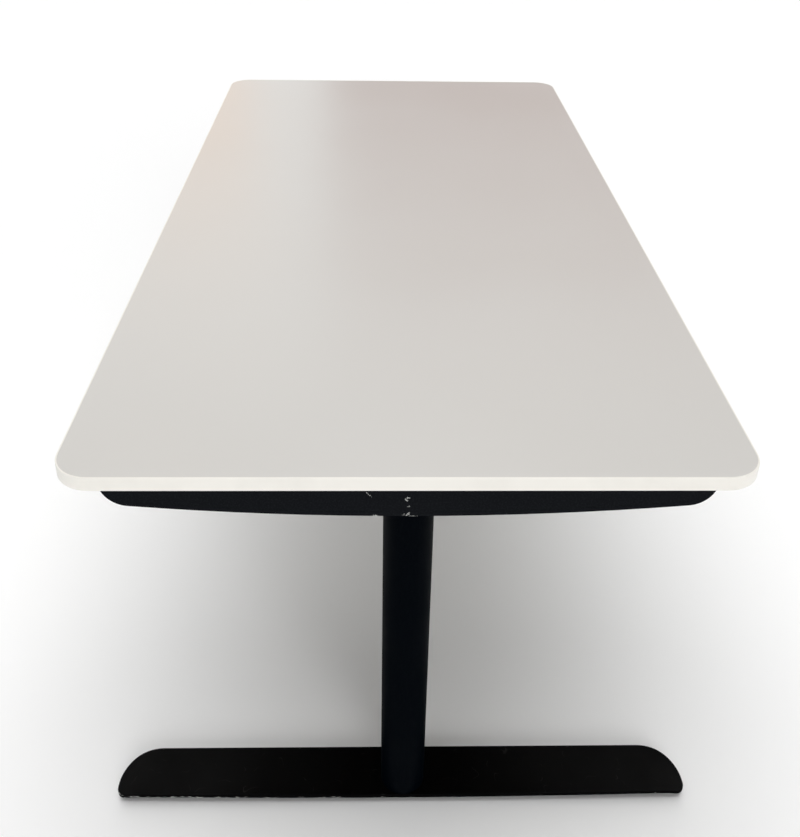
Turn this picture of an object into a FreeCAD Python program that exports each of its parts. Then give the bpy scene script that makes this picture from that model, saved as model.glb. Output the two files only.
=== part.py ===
import FreeCAD, Part
import math
import os
import re

import Sketcher
from FreeCAD import Placement, Rotation, Vector

# Electric standing desk with two three-stage columns, shown at its lowest height, in millimetres.
# X runs along the desk, the user sits on the -Y side, Z is up and the floor is z = 0.

DIMENSIONS = [
    ("top_length", 1600, "tabletop, end to end"),
    ("top_depth", 800, "tabletop, front to back"),
    ("top_thickness", 18, "board and edge band"),
    ("top_corner", 45, "corner rounding seen from above"),
    ("band_thickness", 2, "edge band"),
    ("band_rounding", 1, "rounding of the band's long edges"),
    ("desk_height", 580, "floor to worktop at the lowest setting"),
    ("arm_setback", 10, "end of the tabletop to the arm's outer face"),
    ("arm_length", 695, "support arm, front to back"),
    ("arm_depth", 44, "support arm at its middle"),
    ("arm_bow", 18, "rise of the arm's lower edge towards its ends"),
    ("arm_corner", 33, "rounding of the flanges' lower corners"),
    ("arm_wall", 2.5, "arm sheet"),
    ("arm_bend", 4, "outside radius of the arm's folds"),
    ("arm_gap", 2, "flange to column"),
    ("arm_screw_near", 150, "tabletop screws nearer to the column"),
    ("arm_screw_far", 300, "tabletop screws near the arm's ends"),
    ("column_width", 60, "outer tube, front to back"),
    ("column_length", 76, "outer tube along the desk"),
    ("tube_wall", 2, "all three tubes"),
    ("stage_gap", 1.5, "between one tube and the next"),
    ("slide_gap", 0.3, "running clearance"),
    ("fit_gap", 0.1, "clearance of what is plugged in and stays"),
    ("stop_gap", 1, "left between stops at the lowest setting"),
    ("tube_tuck", 5, "outer tube inside the arm at the lowest setting"),
    ("guide_rim", 3, "guide collar on top of a tube"),
    ("guide_skirt", 60, "guide collar inside a tube"),
    ("guide_step", 3, "each collar above the one below"),
    ("foot_length", 795, "foot, front to back"),
    ("foot_width", 78, "foot along the desk"),
    ("foot_bow", 4, "bulge of the foot's outer edge"),
    ("foot_outer_corner", 16, "rounding at the outer edge"),
    ("foot_inner_corner", 54, "rounding at the inner edge"),
    ("foot_thickness", 6, "foot plate"),
    ("foot_clearance", 12, "floor to the underside of the foot"),
    ("foot_tip", 32, "part of each end that is turned down"),
    ("foot_bend", 96, "radius of the turned-down ends"),
    ("tip_spare", 1.1, "turned-down ends before trimming, as a ratio"),
    ("foot_rounding", 1.5, "rounding of the foot's upper edge"),
    ("foot_skin", 1.5, "left above the glide's threaded hole"),
    ("glide_inset", 60, "glide to the end of the foot"),
    ("glide_diameter", 32, "glide pad"),
    ("glide_pad", 5, "glide pad height"),
    ("glide_rounding", 1.5, "chamfer round the pad"),
    ("stud_diameter", 8, "glide stud"),
    ("bush_wall", 4, "threaded bush under the foot"),
    ("base_plate", 6, "plate welded in the outer tube"),
    ("foot_screw_x", 24, "foot screws along the desk"),
    ("foot_screw_y", 15, "foot screws front to back"),
    ("screw_shank", 6, "machine screws"),
    ("screw_head", 10, "machine screw heads"),
    ("screw_head_height", 3, "machine screw heads"),
    ("wood_shank", 4, "screws into the board"),
    ("wood_head", 8.5, "heads of those screws"),
    ("wood_head_height", 2.5, "heads of those screws"),
    ("wood_bite", 13, "depth of those screws in the board"),
    ("lower_screw", 12, "fixed screw"),
    ("lower_screw_spare", 6, "fixed screw above its nut at full height"),
    ("carrier_flange", 6, "bearing carrier below the middle tube"),
    ("carrier_plug", 14, "bearing carrier inside the middle tube"),
    ("bearing_ledge", 4, "carrier under the bearing"),
    ("bearing_diameter", 35, "bearing outer ring"),
    ("bearing_height", 10, "bearing"),
    ("bearing_ring", 2.5, "width of each bearing ring"),
    ("bearing_seal", 0.6, "depth of the seal between the rings"),
    ("screw_tube", 22, "rotating screw, outside"),
    ("screw_tube_bore", 14, "rotating screw, inside"),
    ("screw_nut_length", 20, "nut at the bottom of the rotating screw"),
    ("screw_flange", 26, "ring below the bearing"),
    ("screw_shoulder", 28, "ring above the bearing"),
    ("shoulder_height", 5, "ring above the bearing"),
    ("collar_diameter", 25.4, "driven collar"),
    ("collar_height", 12, "driven collar"),
    ("nut_flange", 6, "lifting nut below the inner tube"),
    ("nut_plug", 14, "lifting nut inside the inner tube"),
    ("sleeve_wall", 2, "drive sleeve"),
    ("sleeve_hub", 6, "closed top of the drive sleeve"),
    ("key_width", 3, "keys along the drive sleeve"),
    ("key_height", 1.2, "keys along the drive sleeve"),
    ("stub_diameter", 12, "drive sleeve's shaft"),
    ("stub_length", 20, "drive sleeve's shaft"),
    ("gearbox_height", 40, "gearbox"),
    ("gearbox_flange", 9, "gearbox flange across the tube"),
    ("motor_length", 114, "motor"),
    ("motor_gap", 2, "motor to tube"),
    ("motor_cap", 12, "motor's end caps"),
    ("motor_step", 2, "end caps inside the can's outline"),
    ("motor_boss", 4, "rear bearing boss"),
    ("motor_headroom", 4.2, "motor to mounting plate"),
    ("mount_plate", 5, "plate on top of the inner tube"),
    ("mount_length", 130, "that plate, front to back"),
    ("mount_corner", 8, "its corners"),
    ("mount_gap", 3, "plate to arm flange"),
    ("mount_screw_x", 26, "its screws along the desk"),
    ("mount_screw_y", 52, "its screws front to back"),
    ("rail_spacing", 340, "front rail to rear rail"),
    ("rail_width", 30, "rail"),
    ("rail_height", 36, "rail"),
    ("rail_wall", 2, "rail sheet"),
    ("rail_bend", 3, "outside radius of the rail's folds"),
    ("rail_plate", 3, "plate at each end of a rail"),
    ("rail_plate_width", 66, "that plate, front to back"),
    ("rail_bolt_y", 24, "bolts either side of the rail"),
    ("rail_bolt_z", 18, "bolts below the tabletop"),
    ("rail_screw_x", 480, "outer tabletop screws in a rail"),
    ("nut_width", 10, "nuts inside the arm"),
    ("nut_height", 5, "nuts inside the arm"),
    ("case_x", 260, "middle of the control box along the desk"),
    ("case_length", 280, "control box along the desk"),
    ("case_width", 120, "control box front to back"),
    ("case_height", 42, "control box"),
    ("case_wall", 2.5, "control box shell"),
    ("case_corner", 10, "control box seen from above"),
    ("case_rounding", 4, "control box lower edge"),
    ("case_ear", 16, "fixing ears of the control box"),
    ("case_ear_y", 36, "ears off the middle"),
    ("lid_thickness", 2, "control box lid"),
    ("boss_height", 7, "posts under the circuit board"),
    ("boss_diameter", 8, "posts under the circuit board"),
    ("board_thickness", 1.6, "circuit boards"),
    ("board_margin", 8, "circuit board to shell"),
    ("coil_length", 62, "transformer along the desk"),
    ("coil_width", 48, "transformer front to back"),
    ("coil_height", 20, "transformer and capacitors"),
    ("can_diameter", 13, "capacitors"),
    ("can_pitch", 20, "capacitor to the next"),
    ("vent_length", 46, "cooling slots"),
    ("vent_width", 3, "cooling slots"),
    ("vent_pitch", 9, "cooling slot to the next"),
    ("vent_count", 7, "cooling slots"),
    ("inlet_width", 27, "mains inlet"),
    ("inlet_height", 20, "mains inlet"),
    ("inlet_depth", 18, "mains inlet"),
    ("inlet_wall", 2.5, "mains inlet"),
    ("pin_size", 3, "pins in the mains inlet"),
    ("pin_pitch", 7, "pins in the mains inlet"),
    ("socket_width", 13, "lead sockets"),
    ("socket_height", 10, "lead sockets"),
    ("socket_depth", 14, "lead sockets"),
    ("socket_pitch", 18, "lead socket to the next"),
    ("socket_wall", 1.5, "lead sockets"),
    ("handset_inset", 280, "end of the tabletop to the middle of the handset"),
    ("handset_setback", 3, "front of the tabletop to the handset's face"),
    ("handset_length", 104, "handset along the desk"),
    ("handset_depth", 58, "handset front to back"),
    ("handset_height", 22, "handset"),
    ("handset_wall", 2.5, "handset shell"),
    ("handset_corner", 9, "handset seen from above"),
    ("handset_rounding", 3, "handset lower edge"),
    ("handset_screw_x", 38, "handset screws off its middle"),
    ("button_length", 26, "button along the desk"),
    ("button_height", 10, "button"),
    ("button_pitch", 38, "button to button"),
    ("button_proud", 2.2, "button in front of the housing"),
    ("button_travel", 1.5, "button stroke"),
    ("button_rim", 1.5, "rim that keeps the button in"),
    ("button_rounding", 1, "button's front edges"),
]

PLACES = [
    ("underside", "desk_height - top_thickness", "lower face of the tabletop"),
    ("web_bottom", "underside - arm_wall", "inside of the arm's web"),
    ("mount_bottom", "web_bottom - mount_plate", "top of the inner tube"),
    ("arm_width", "column_length + 2 * arm_gap + 2 * arm_wall", "arm along the desk"),
    ("leg_x", "top_length / 2 - arm_setback - arm_width / 2", "column axis"),
    ("rail_y", "rail_spacing / 2", "rail off the middle"),
    ("arm_bow_radius", "(arm_length ^ 2 / 4 + arm_bow ^ 2) / (2 * arm_bow)", "arm's lower edge"),
    ("arm_bow_z", "arm_bow_radius - arm_depth", "centre of that edge"),
    ("arm_corner_y", "arm_length / 2 - arm_corner", "centre of a lower corner"),
    ("arm_corner_z", "arm_bow_z - sqrt((arm_bow_radius - arm_corner) ^ 2 - arm_corner_y ^ 2)",
     "centre of a lower corner"),
    ("arm_join", "arm_bow_radius / (arm_bow_radius - arm_corner)", "corner centre to join, as a ratio"),
    ("arm_join_y", "arm_corner_y * arm_join", "where corner and lower edge meet"),
    ("arm_join_z", "arm_bow_z - (arm_bow_z - arm_corner_z) * arm_join", "where they meet"),
    ("outer_bore_width", "column_width - 2 * tube_wall", "inside the outer tube"),
    ("outer_bore_length", "column_length - 2 * tube_wall", "inside the outer tube"),
    ("middle_width", "outer_bore_width - 2 * stage_gap", "middle tube"),
    ("middle_length", "outer_bore_length - 2 * stage_gap", "middle tube"),
    ("middle_bore_width", "middle_width - 2 * tube_wall", "inside the middle tube"),
    ("middle_bore_length", "middle_length - 2 * tube_wall", "inside the middle tube"),
    ("inner_width", "middle_bore_width - 2 * stage_gap", "inner tube"),
    ("inner_length", "middle_bore_length - 2 * stage_gap", "inner tube"),
    ("inner_bore_width", "inner_width - 2 * tube_wall", "inside the inner tube"),
    ("inner_bore_length", "inner_length - 2 * tube_wall", "inside the inner tube"),
    ("foot_top", "foot_clearance + foot_thickness", "top of the foot"),
    ("plate_top", "foot_top + base_plate", "top of the base plate"),
    ("carrier_bottom", "plate_top + stop_gap", "bearing carrier"),
    ("middle_bottom", "carrier_bottom + carrier_flange", "middle tube"),
    ("carrier_top", "middle_bottom + carrier_plug", "bearing carrier"),
    ("nut_bottom", "carrier_top + stop_gap", "lifting nut"),
    ("inner_bottom", "nut_bottom + nut_flange", "inner tube"),
    ("nut_top", "inner_bottom + nut_plug", "lifting nut"),
    ("motor_bottom", "mount_bottom - motor_headroom - motor_length", "motor"),
    ("gearbox_bottom", "motor_bottom - gearbox_height", "gearbox"),
    ("sleeve_top", "gearbox_bottom - slide_gap", "drive sleeve"),
    ("hub_bottom", "sleeve_top - sleeve_hub", "ceiling of the drive sleeve"),
    ("collar_top", "hub_bottom - stop_gap", "driven collar"),
    ("collar_bottom", "collar_top - collar_height", "driven collar"),
    ("stage_stroke", "collar_bottom - stop_gap - nut_top", "travel of one stage"),
    ("sleeve_bottom", "nut_top + 2 * stop_gap", "drive sleeve"),
    ("sleeve_bore", "collar_diameter + 2 * slide_gap", "inside the drive sleeve"),
    ("screw_bottom", "carrier_bottom + stop_gap", "rotating screw"),
    ("bearing_bottom", "carrier_bottom + bearing_ledge", "bearing"),
    ("bearing_bore", "screw_tube + 2 * slide_gap", "inside the bearing"),
    ("shoulder_bottom", "bearing_bottom + bearing_height + slide_gap", "ring above the bearing"),
    ("lower_screw_top", "screw_bottom + screw_nut_length + stage_stroke + lower_screw_spare",
     "fixed screw"),
    ("outer_top", "underside - arm_depth + tube_tuck", "outer tube"),
    ("middle_top", "outer_top + guide_rim + guide_step", "middle tube"),
    ("foot_flat", "foot_length / 2 - foot_tip", "flat part of the foot, off its middle"),
    ("tip_sine", "tip_spare * foot_tip / (foot_bend - foot_thickness)", "slope of the untrimmed ends"),
    ("tip_cosine", "sqrt(1 - tip_sine ^ 2)", "slope of the untrimmed ends"),
    ("foot_edge", "foot_width / 2", "foot's edges off the column axis"),
    ("foot_bow_radius", "(foot_length ^ 2 / 4 + foot_bow ^ 2) / (2 * foot_bow)", "foot's outer edge"),
    ("foot_bow_x", "foot_bow_radius - foot_edge", "centre of that edge"),
    ("foot_corner_y", "foot_length / 2 - foot_outer_corner", "centre of an outer corner"),
    ("foot_corner_x", "foot_bow_x - sqrt((foot_bow_radius - foot_outer_corner) ^ 2 - foot_corner_y ^ 2)",
     "centre of an outer corner"),
    ("foot_join", "foot_bow_radius / (foot_bow_radius - foot_outer_corner)",
     "corner centre to join, as a ratio"),
    ("foot_join_x", "foot_bow_x - (foot_bow_x - foot_corner_x) * foot_join", "where corner and edge meet"),
    ("foot_join_y", "foot_corner_y * foot_join", "where corner and edge meet"),
    ("glide_y", "foot_length / 2 - glide_inset", "glides off the middle"),
    ("stud_bore", "stud_diameter + 2 * slide_gap", "hole for a glide's stud"),
    ("stud_top", "foot_top - foot_skin - stop_gap", "top of a glide's stud"),
    ("screw_hole", "screw_shank + 2 * fit_gap", "hole for a machine screw"),
    ("head_hole", "screw_head + 2 * slide_gap", "counterbore for its head"),
    ("wood_hole", "wood_shank + 2 * fit_gap", "hole for a screw into the board"),
    ("rail_span", "2 * leg_x - arm_width", "between the arms' inner faces"),
    ("case_z", "underside - case_height", "bottom of the control box"),
    ("case_ear_x", "case_length / 2 + case_ear / 2", "ear holes off the box's middle"),
    ("case_end_z", "boss_height + case_wall + board_thickness", "circuit board's upper face in the box"),
    ("handset_x", "top_length / 2 - handset_inset", "middle of the handset along the desk"),
    ("handset_y", "-top_depth / 2 + handset_setback + handset_depth / 2", "middle of the handset"),
    ("handset_z", "underside - handset_height", "bottom of the handset"),
    ("handset_face", "-handset_depth / 2", "handset's front, from its middle"),
    ("button_z", "(handset_height - lid_thickness) / 2", "buttons above the handset's bottom"),
    ("handset_board_y", "handset_face + handset_wall + slide_gap + button_rim + button_travel + slide_gap",
     "face of the handset's circuit board"),
]

SIDES = {"left": -1, "right": 1}
ENDS = {"front": -1, "rear": 1}
ARM_SCREWS = ("arm_screw_near", "arm_screw_far")
RAIL_SCREWS = (-1, 0, 1)
WORD = r"[A-Za-z_]+"

doc = FreeCAD.newDocument("standing_desk")
nodes = []


# Sheets and formulas

def fill_sheet(name, rows):
    sheet = doc.addObject("Spreadsheet::Sheet", name)
    for row, (alias, content, note) in enumerate(rows, start=1):
        sheet.set(f"A{row}", alias)
        sheet.set(f"B{row}", str(content))
        sheet.set(f"C{row}", note)
        sheet.setAlias(f"B{row}", alias)
    doc.recompute()
    return sheet


def spelled(text):
    """Put the sheet's name before each alias in a formula."""
    def owner(match):
        word = match.group(0)
        return sheet_of[word] + "." + word if word in sheet_of else word
    return re.sub(WORD, owner, text)


def in_places(text):
    """The same for a formula inside the sheet of worked-out places."""
    return "=" + spelled(text).replace("Places.", "")


sheet_of = {alias: "Dimensions" for alias, _, _ in DIMENSIONS}
sheet_of.update({alias: "Places" for alias, _, _ in PLACES})
dimensions = fill_sheet("Dimensions", DIMENSIONS)
places = fill_sheet("Places", [(alias, in_places(text), note) for alias, text, note in PLACES])
sizes = {alias: float(getattr(dimensions, alias)) for alias, _, _ in DIMENSIONS}
sizes.update({alias: float(getattr(places, alias)) for alias, _, _ in PLACES})


def number(text):
    """Work a formula out, so that a sketch starts near its final shape."""
    def figure(match):
        word = match.group(0)
        return f"({sizes[word]:.9f})" if word in sizes else word
    return FreeCAD.Units.Quantity(re.sub(WORD, figure, text)).Value


def bind(thing, path, text):
    thing.setExpression(path, spelled(text))


def place(thing, x="0", y="0", z="0", turn=Rotation()):
    """Bind a piece's place."""
    thing.Placement = Placement(Vector(0, 0, 0), turn)
    for axis, text in (("x", x), ("y", y), ("z", z)):
        bind(thing, f"Placement.Base.{axis}", text)


def facing(sign):
    """Turn of a piece that has its outer side towards -X when it is made for the left leg."""
    return Rotation(Vector(0, 0, 1), 0 if sign < 0 else 180)


# Sketches

def sketch_on(body, plane, name, height="0"):
    sketch = body.newObject("Sketcher::SketchObject", name)
    support = [item for item in body.Origin.OriginFeatures if item.Role == plane][0]
    sketch.AttachmentSupport = (support, "")
    sketch.MapMode = "FlatFace"
    bind(sketch, "AttachmentOffset.Base.z", height)
    return sketch


def fix_point(sketch, item, end, x, y):
    """Tie a point of a sketch to its two coordinates."""
    now = sketch.getPoint(item, end)
    for kind, start, text in (("DistanceX", now.x, x), ("DistanceY", now.y, y)):
        index = sketch.addConstraint(Sketcher.Constraint(kind, -1, 1, item, end, start))
        bind(sketch, f"Constraints[{index}]", text)


def turned_back(heading, chord):
    """Direction at the far end of an arc that leaves along heading."""
    along = Vector(chord).normalize()
    return along * (2 * heading.dot(along)) - heading


def arc_between(start, end, heading):
    """Arc that leaves start along heading; also says which of its ends is the start."""
    chord = end - start
    left = Vector(-heading.y, heading.x, 0)
    radius = chord.Length ** 2 / (2 * left.dot(chord))
    centre = start + left * radius
    first, last = (start, end) if radius > 0 else (end, start)
    angles = [math.atan2(spot.y - centre.y, spot.x - centre.x) for spot in (first, last)]
    if angles[1] < angles[0]:
        angles[1] += 2 * math.pi
    circle = Part.Circle(centre, Vector(0, 0, 1), abs(radius))
    return Part.ArcOfCircle(circle, *angles), (1, 2) if radius > 0 else (2, 1)


def outline(sketch, stretches):
    """Close a loop; each stretch is (kind, x, y) and starts at x, y.

    An arc is tangent to the stretch before it, an arc_in to the line after it.
    """
    first = sketch.GeometryCount
    count = len(stretches)
    spots = [Vector(number(x), number(y), 0) for _, x, y in stretches]
    ends = []
    heading = None
    for step, (kind, _, _) in enumerate(stretches):
        start = spots[step]
        end = spots[(step + 1) % count]
        if kind == "line":
            sketch.addGeometry(Part.LineSegment(start, end), False)
            ends.append((1, 2))
            heading = (end - start).normalize()
            continue
        if kind == "arc_in":
            after = (spots[(step + 2) % count] - end).normalize()
            heading = turned_back(after, end - start)
        arc, order = arc_between(start, end, heading)
        sketch.addGeometry(arc, False)
        ends.append(order)
        heading = turned_back(heading, end - start)
    for step, (kind, _, _) in enumerate(stretches):
        after = (step + 1) % count
        smooth = kind == "arc_in" or stretches[after][0] == "arc"
        sketch.addConstraint(Sketcher.Constraint(
            "Tangent" if smooth else "Coincident",
            first + step, ends[step][1], first + after, ends[after][0]))
    for step, (_, x, y) in enumerate(stretches):
        fix_point(sketch, first + step, ends[step][0], x, y)


def slot(sketch, length, width):
    """Oval with straight sides, its length along the sketch's first axis."""
    run = f"(({length}) - ({width})) / 2"
    side = f"({width}) / 2"
    outline(sketch, [
        ("line", f"-{run}", f"-{side}"),
        ("arc", run, f"-{side}"),
        ("line", run, side),
        ("arc", f"-{run}", side),
    ])


def rounded_rectangle(sketch, length, width, corner):
    long, short = f"({length}) / 2", f"({width}) / 2"
    long_run, short_run = f"({long} - ({corner}))", f"({short} - ({corner}))"
    outline(sketch, [
        ("line", f"-{long_run}", f"-{short}"),
        ("arc", long_run, f"-{short}"),
        ("line", long, f"-{short_run}"),
        ("arc", long, short_run),
        ("line", long_run, short),
        ("arc", f"-{long_run}", short),
        ("line", f"-{long}", short_run),
        ("arc", f"-{long}", f"-{short_run}"),
    ])


def rectangle(sketch, length, width, x="0", y="0"):
    long, short = f"({length}) / 2", f"({width}) / 2"
    corners = [("-", "-"), ("+", "-"), ("+", "+"), ("-", "+")]
    outline(sketch, [("line", f"{x} {a} {long}", f"{y} {b} {short}") for a, b in corners])


def circles(sketch, centres, diameter):
    for x, y in centres:
        spot = Vector(number(x), number(y), 0)
        item = sketch.addGeometry(Part.Circle(spot, Vector(0, 0, 1), number(diameter) / 2), False)
        fix_point(sketch, item, 3, x, y)
        index = sketch.addConstraint(Sketcher.Constraint("Diameter", item, number(diameter)))
        bind(sketch, f"Constraints[{index}]", diameter)


# Features

def new_body(label):
    body = doc.addObject("PartDesign::Body", label)
    body.Label = label
    nodes.append(body)
    return body


def pad(body, sketch, name, length, both_ways=False, downwards=False):
    feature = body.newObject("PartDesign::Pad", name)
    feature.Profile = sketch
    feature.SideType = "Symmetric" if both_ways else "One side"
    feature.Reversed = downwards
    bind(feature, "Length", length)
    doc.recompute()
    return feature


def pocket(body, sketch, name, depth=None, both_ways=False, along_normal=True):
    """Cut a sketch out of a body, through it where no depth is given."""
    before = body.Shape.Volume
    feature = body.newObject("PartDesign::Pocket", name)
    feature.Profile = sketch
    feature.SideType = "Symmetric" if both_ways else "One side"
    feature.Reversed = along_normal
    if depth is None:
        feature.Type = "ThroughAll"
    else:
        bind(feature, "Length", depth)
    doc.recompute()
    if body.Shape.Volume >= before:
        raise RuntimeError(f"{name} cuts nothing")
    return feature


def round_edges(body, name, radius, chosen):
    """Fillet the edges of the last feature for which chosen(edge) is true."""
    base = body.Tip
    names = [f"Edge{i}" for i, edge in enumerate(base.Shape.Edges, start=1) if chosen(edge)]
    feature = body.newObject("PartDesign::Fillet", name)
    feature.Base = (base, names)
    bind(feature, "Radius", radius)
    doc.recompute()
    return feature


def along_axis(edge, axis):
    """True for a straight edge parallel to one of the axes x, y and z."""
    ends = [vertex.Point for vertex in edge.Vertexes]
    if len(ends) < 2 or edge.Curve.TypeId != "Part::GeomLine":
        return False
    step = ends[1] - ends[0]
    return all(abs(getattr(step, other)) < 1e-6 for other in "xyz" if other != axis)


def turned(label, corners):
    """Piece turned on a lathe from corners given as radius and height."""
    body = new_body(label)
    sketch = sketch_on(body, "XZ_Plane", f"{label}_profile")
    outline(sketch, [("line", radius, height) for radius, height in corners])
    feature = body.newObject("PartDesign::Revolution", f"{label}_turned")
    feature.Profile = sketch
    feature.ReferenceAxis = (sketch, ["V_Axis"])
    feature.Angle = 360
    doc.recompute()
    return body


def cylinder(name, diameter, height, x, y, z, axis=Vector(0, 0, 1)):
    piece = doc.addObject("Part::Cylinder", name)
    bind(piece, "Radius", f"({diameter}) / 2")
    bind(piece, "Height", height)
    place(piece, x, y, z, Rotation(Vector(0, 0, 1), axis))
    return piece


def fused(name, pieces):
    whole = doc.addObject("Part::MultiFuse", name)
    whole.Shapes = pieces
    return whole


def group(label, pieces):
    """Identical pieces of one body, kept as separate solids under one name."""
    whole = doc.addObject("Part::Compound", label)
    whole.Label = label
    whole.Links = pieces
    nodes.append(whole)
    return whole


# Tabletop

def screws_into_board():
    """Where screws go up into the board, by the piece that they hold."""
    arm = [(f"{sign} * leg_x", f"{end} * {reach}")
           for sign in SIDES.values() for end in ENDS.values() for reach in ARM_SCREWS]
    rail = [(f"{step} * rail_screw_x", f"{end} * rail_y") for end in ENDS.values() for step in RAIL_SCREWS]
    case = [(f"case_x + {sign} * case_ear_x", f"{end} * case_ear_y")
            for sign in SIDES.values() for end in ENDS.values()]
    handset = [(f"handset_x + {sign} * handset_screw_x", "handset_y") for sign in SIDES.values()]
    return {"arm": arm, "rail": rail, "case": case, "handset": handset}


def tabletop():
    board = new_body("tabletop")
    face = sketch_on(board, "XY_Plane", "tabletop_face")
    rounded_rectangle(face, "top_length - 2 * band_thickness", "top_depth - 2 * band_thickness",
                      "top_corner - band_thickness")
    pad(board, face, "tabletop_board", "top_thickness")
    pilots = sketch_on(board, "XY_Plane", "tabletop_pilots")
    circles(pilots, [spot for spots in screws_into_board().values() for spot in spots], "wood_hole")
    pocket(board, pilots, "tabletop_pilot_holes", "wood_bite + stop_gap")
    place(board, z="underside")


def edge_band():
    band = new_body("edge_band")
    ring = sketch_on(band, "XY_Plane", "edge_band_ring")
    rounded_rectangle(ring, "top_length", "top_depth", "top_corner")
    rounded_rectangle(ring, "top_length - 2 * band_thickness", "top_depth - 2 * band_thickness",
                      "top_corner - band_thickness")
    pad(band, ring, "edge_band_strip", "top_thickness")
    box = band.Shape.BoundBox

    def on_outside(edge):
        spot = edge.valueAt((edge.FirstParameter + edge.LastParameter) / 2)
        if min(abs(spot.z - box.ZMin), abs(spot.z - box.ZMax)) > 1e-6:
            return False
        if edge.Curve.TypeId == "Part::GeomLine":
            return max(abs(spot.x) - box.XMax, abs(spot.y) - box.YMax) > -1e-6
        return abs(edge.Curve.Radius - sizes["top_corner"]) < 1e-6
    round_edges(band, "edge_band_rounding", "band_rounding", on_outside)
    place(band, z="underside")


def wood_screw(name, x, y, seat):
    """Screw up into the board, its head under what it holds; seat is that face's height."""
    head = cylinder(f"{name}_head", "wood_head", "wood_head_height", x, y, f"{seat} - wood_head_height")
    shank = cylinder(f"{name}_shank", "wood_shank", f"underside + wood_bite - ({seat})", x, y, seat)
    return fused(name, [head, shank])


def board_screws():
    spots = screws_into_board()
    seats = {"arm": "web_bottom", "rail": "underside - rail_wall"}
    group("tabletop_screws", [wood_screw(f"{held}_screw_{i}", x, y, seats[held])
                              for held in seats for i, (x, y) in enumerate(spots[held])])
    seats = {"case": "underside - case_wall", "handset": "handset_z + handset_wall"}
    group("fitting_screws", [wood_screw(f"{held}_screw_{i}", x, y, seats[held])
                             for held in seats for i, (x, y) in enumerate(spots[held])])


# Support arms and rails

def fold_edges(body, name, axis, width, wall, bend):
    """Round the two folds of a channel that opens downwards."""
    def outside(edge):
        spot = edge.Vertexes[0].Point
        across = abs(spot.x if axis == "y" else spot.y)
        return along_axis(edge, axis) and abs(across - sizes[width] / 2) < 1e-6 and abs(spot.z) < 1e-6

    def inside(edge):
        spot = edge.Vertexes[0].Point
        across = abs(spot.x if axis == "y" else spot.y)
        level = abs(spot.z + sizes[wall]) < 1e-6
        return along_axis(edge, axis) and abs(across - sizes[width] / 2 + sizes[wall]) < 1e-6 and level
    round_edges(body, f"{name}_outer_folds", bend, outside)
    round_edges(body, f"{name}_inner_folds", f"{bend} - {wall}", inside)


def channel_section(sketch, width, depth, wall):
    half = f"{width} / 2"
    inner = f"({half} - {wall})"
    outline(sketch, [
        ("line", f"-{half}", "0"),
        ("line", f"-{half}", f"-{depth}"),
        ("line", f"-{inner}", f"-{depth}"),
        ("line", f"-{inner}", f"-{wall}"),
        ("line", inner, f"-{wall}"),
        ("line", inner, f"-{depth}"),
        ("line", half, f"-{depth}"),
        ("line", half, "0"),
    ])


def arm(side, sign):
    """Folded channel under one end of the tabletop, its flanges bowed along the lower edge."""
    label = f"{side}_arm"
    body = new_body(label)
    section = sketch_on(body, "XZ_Plane", f"{label}_section")
    channel_section(section, "arm_width", "arm_depth", "arm_wall")
    pad(body, section, f"{label}_channel", "arm_length", both_ways=True)
    fold_edges(body, label, "y", "arm_width", "arm_wall", "arm_bend")
    flange = sketch_on(body, "YZ_Plane", f"{label}_flange")
    rectangle(flange, "2 * arm_length", "4 * arm_depth")
    half = "arm_length / 2"
    outline(flange, [
        ("line", f"-{half}", "arm_corner"),
        ("arc", f"-{half}", "arm_corner_z"),
        ("arc", "-arm_join_y", "arm_join_z"),
        ("arc", "arm_join_y", "arm_join_z"),
        ("line", half, "arm_corner_z"),
        ("line", half, "arm_corner"),
    ])
    pocket(body, flange, f"{label}_trim", both_ways=True)
    web = sketch_on(body, "XY_Plane", f"{label}_web_holes")
    circles(web, [("0", f"{end} * {reach}") for end in ENDS.values() for reach in ARM_SCREWS], "wood_hole")
    circles(web, mount_screws(), "screw_hole")
    pocket(body, web, f"{label}_web_drilling", "arm_wall", along_normal=False)
    bolts = sketch_on(body, "YZ_Plane", f"{label}_rail_holes")
    circles(bolts, [(f"{end} * rail_y + {step} * rail_bolt_y", "-rail_bolt_z")
                    for end in ENDS.values() for step in SIDES.values()], "screw_hole")
    pocket(body, bolts, f"{label}_rail_drilling")
    place(body, x=f"{sign} * leg_x", z="underside", turn=facing(sign))


def mount_screws():
    return [(f"{sign} * mount_screw_x", f"{end} * mount_screw_y")
            for sign in SIDES.values() for end in ENDS.values()]


def rail(end, sign):
    """Channel between the arms, with a bolted plate at each end."""
    label = f"{end}_rail"
    body = new_body(label)
    section = sketch_on(body, "YZ_Plane", f"{label}_section")
    channel_section(section, "rail_width", "rail_height", "rail_wall")
    pad(body, section, f"{label}_channel", "rail_span - 2 * rail_plate", both_ways=True)
    fold_edges(body, label, "x", "rail_width", "rail_wall", "rail_bend")
    for side, way in SIDES.items():
        plate = sketch_on(body, "YZ_Plane", f"{label}_{side}_plate",
                          f"{way} * (rail_span / 2 - rail_plate)")
        rectangle(plate, "rail_plate_width", "rail_height", y="-rail_height / 2")
        circles(plate, [(f"{step} * rail_bolt_y", "-rail_bolt_z") for step in SIDES.values()], "screw_hole")
        pad(body, plate, f"{label}_{side}_end", "rail_plate", downwards=way < 0)
    holes = sketch_on(body, "XY_Plane", f"{label}_holes")
    circles(holes, [(f"{step} * rail_screw_x", "0") for step in RAIL_SCREWS], "wood_hole")
    pocket(body, holes, f"{label}_drilling", "rail_wall", along_normal=False)
    place(body, y=f"{sign} * rail_y", z="underside")


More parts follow.
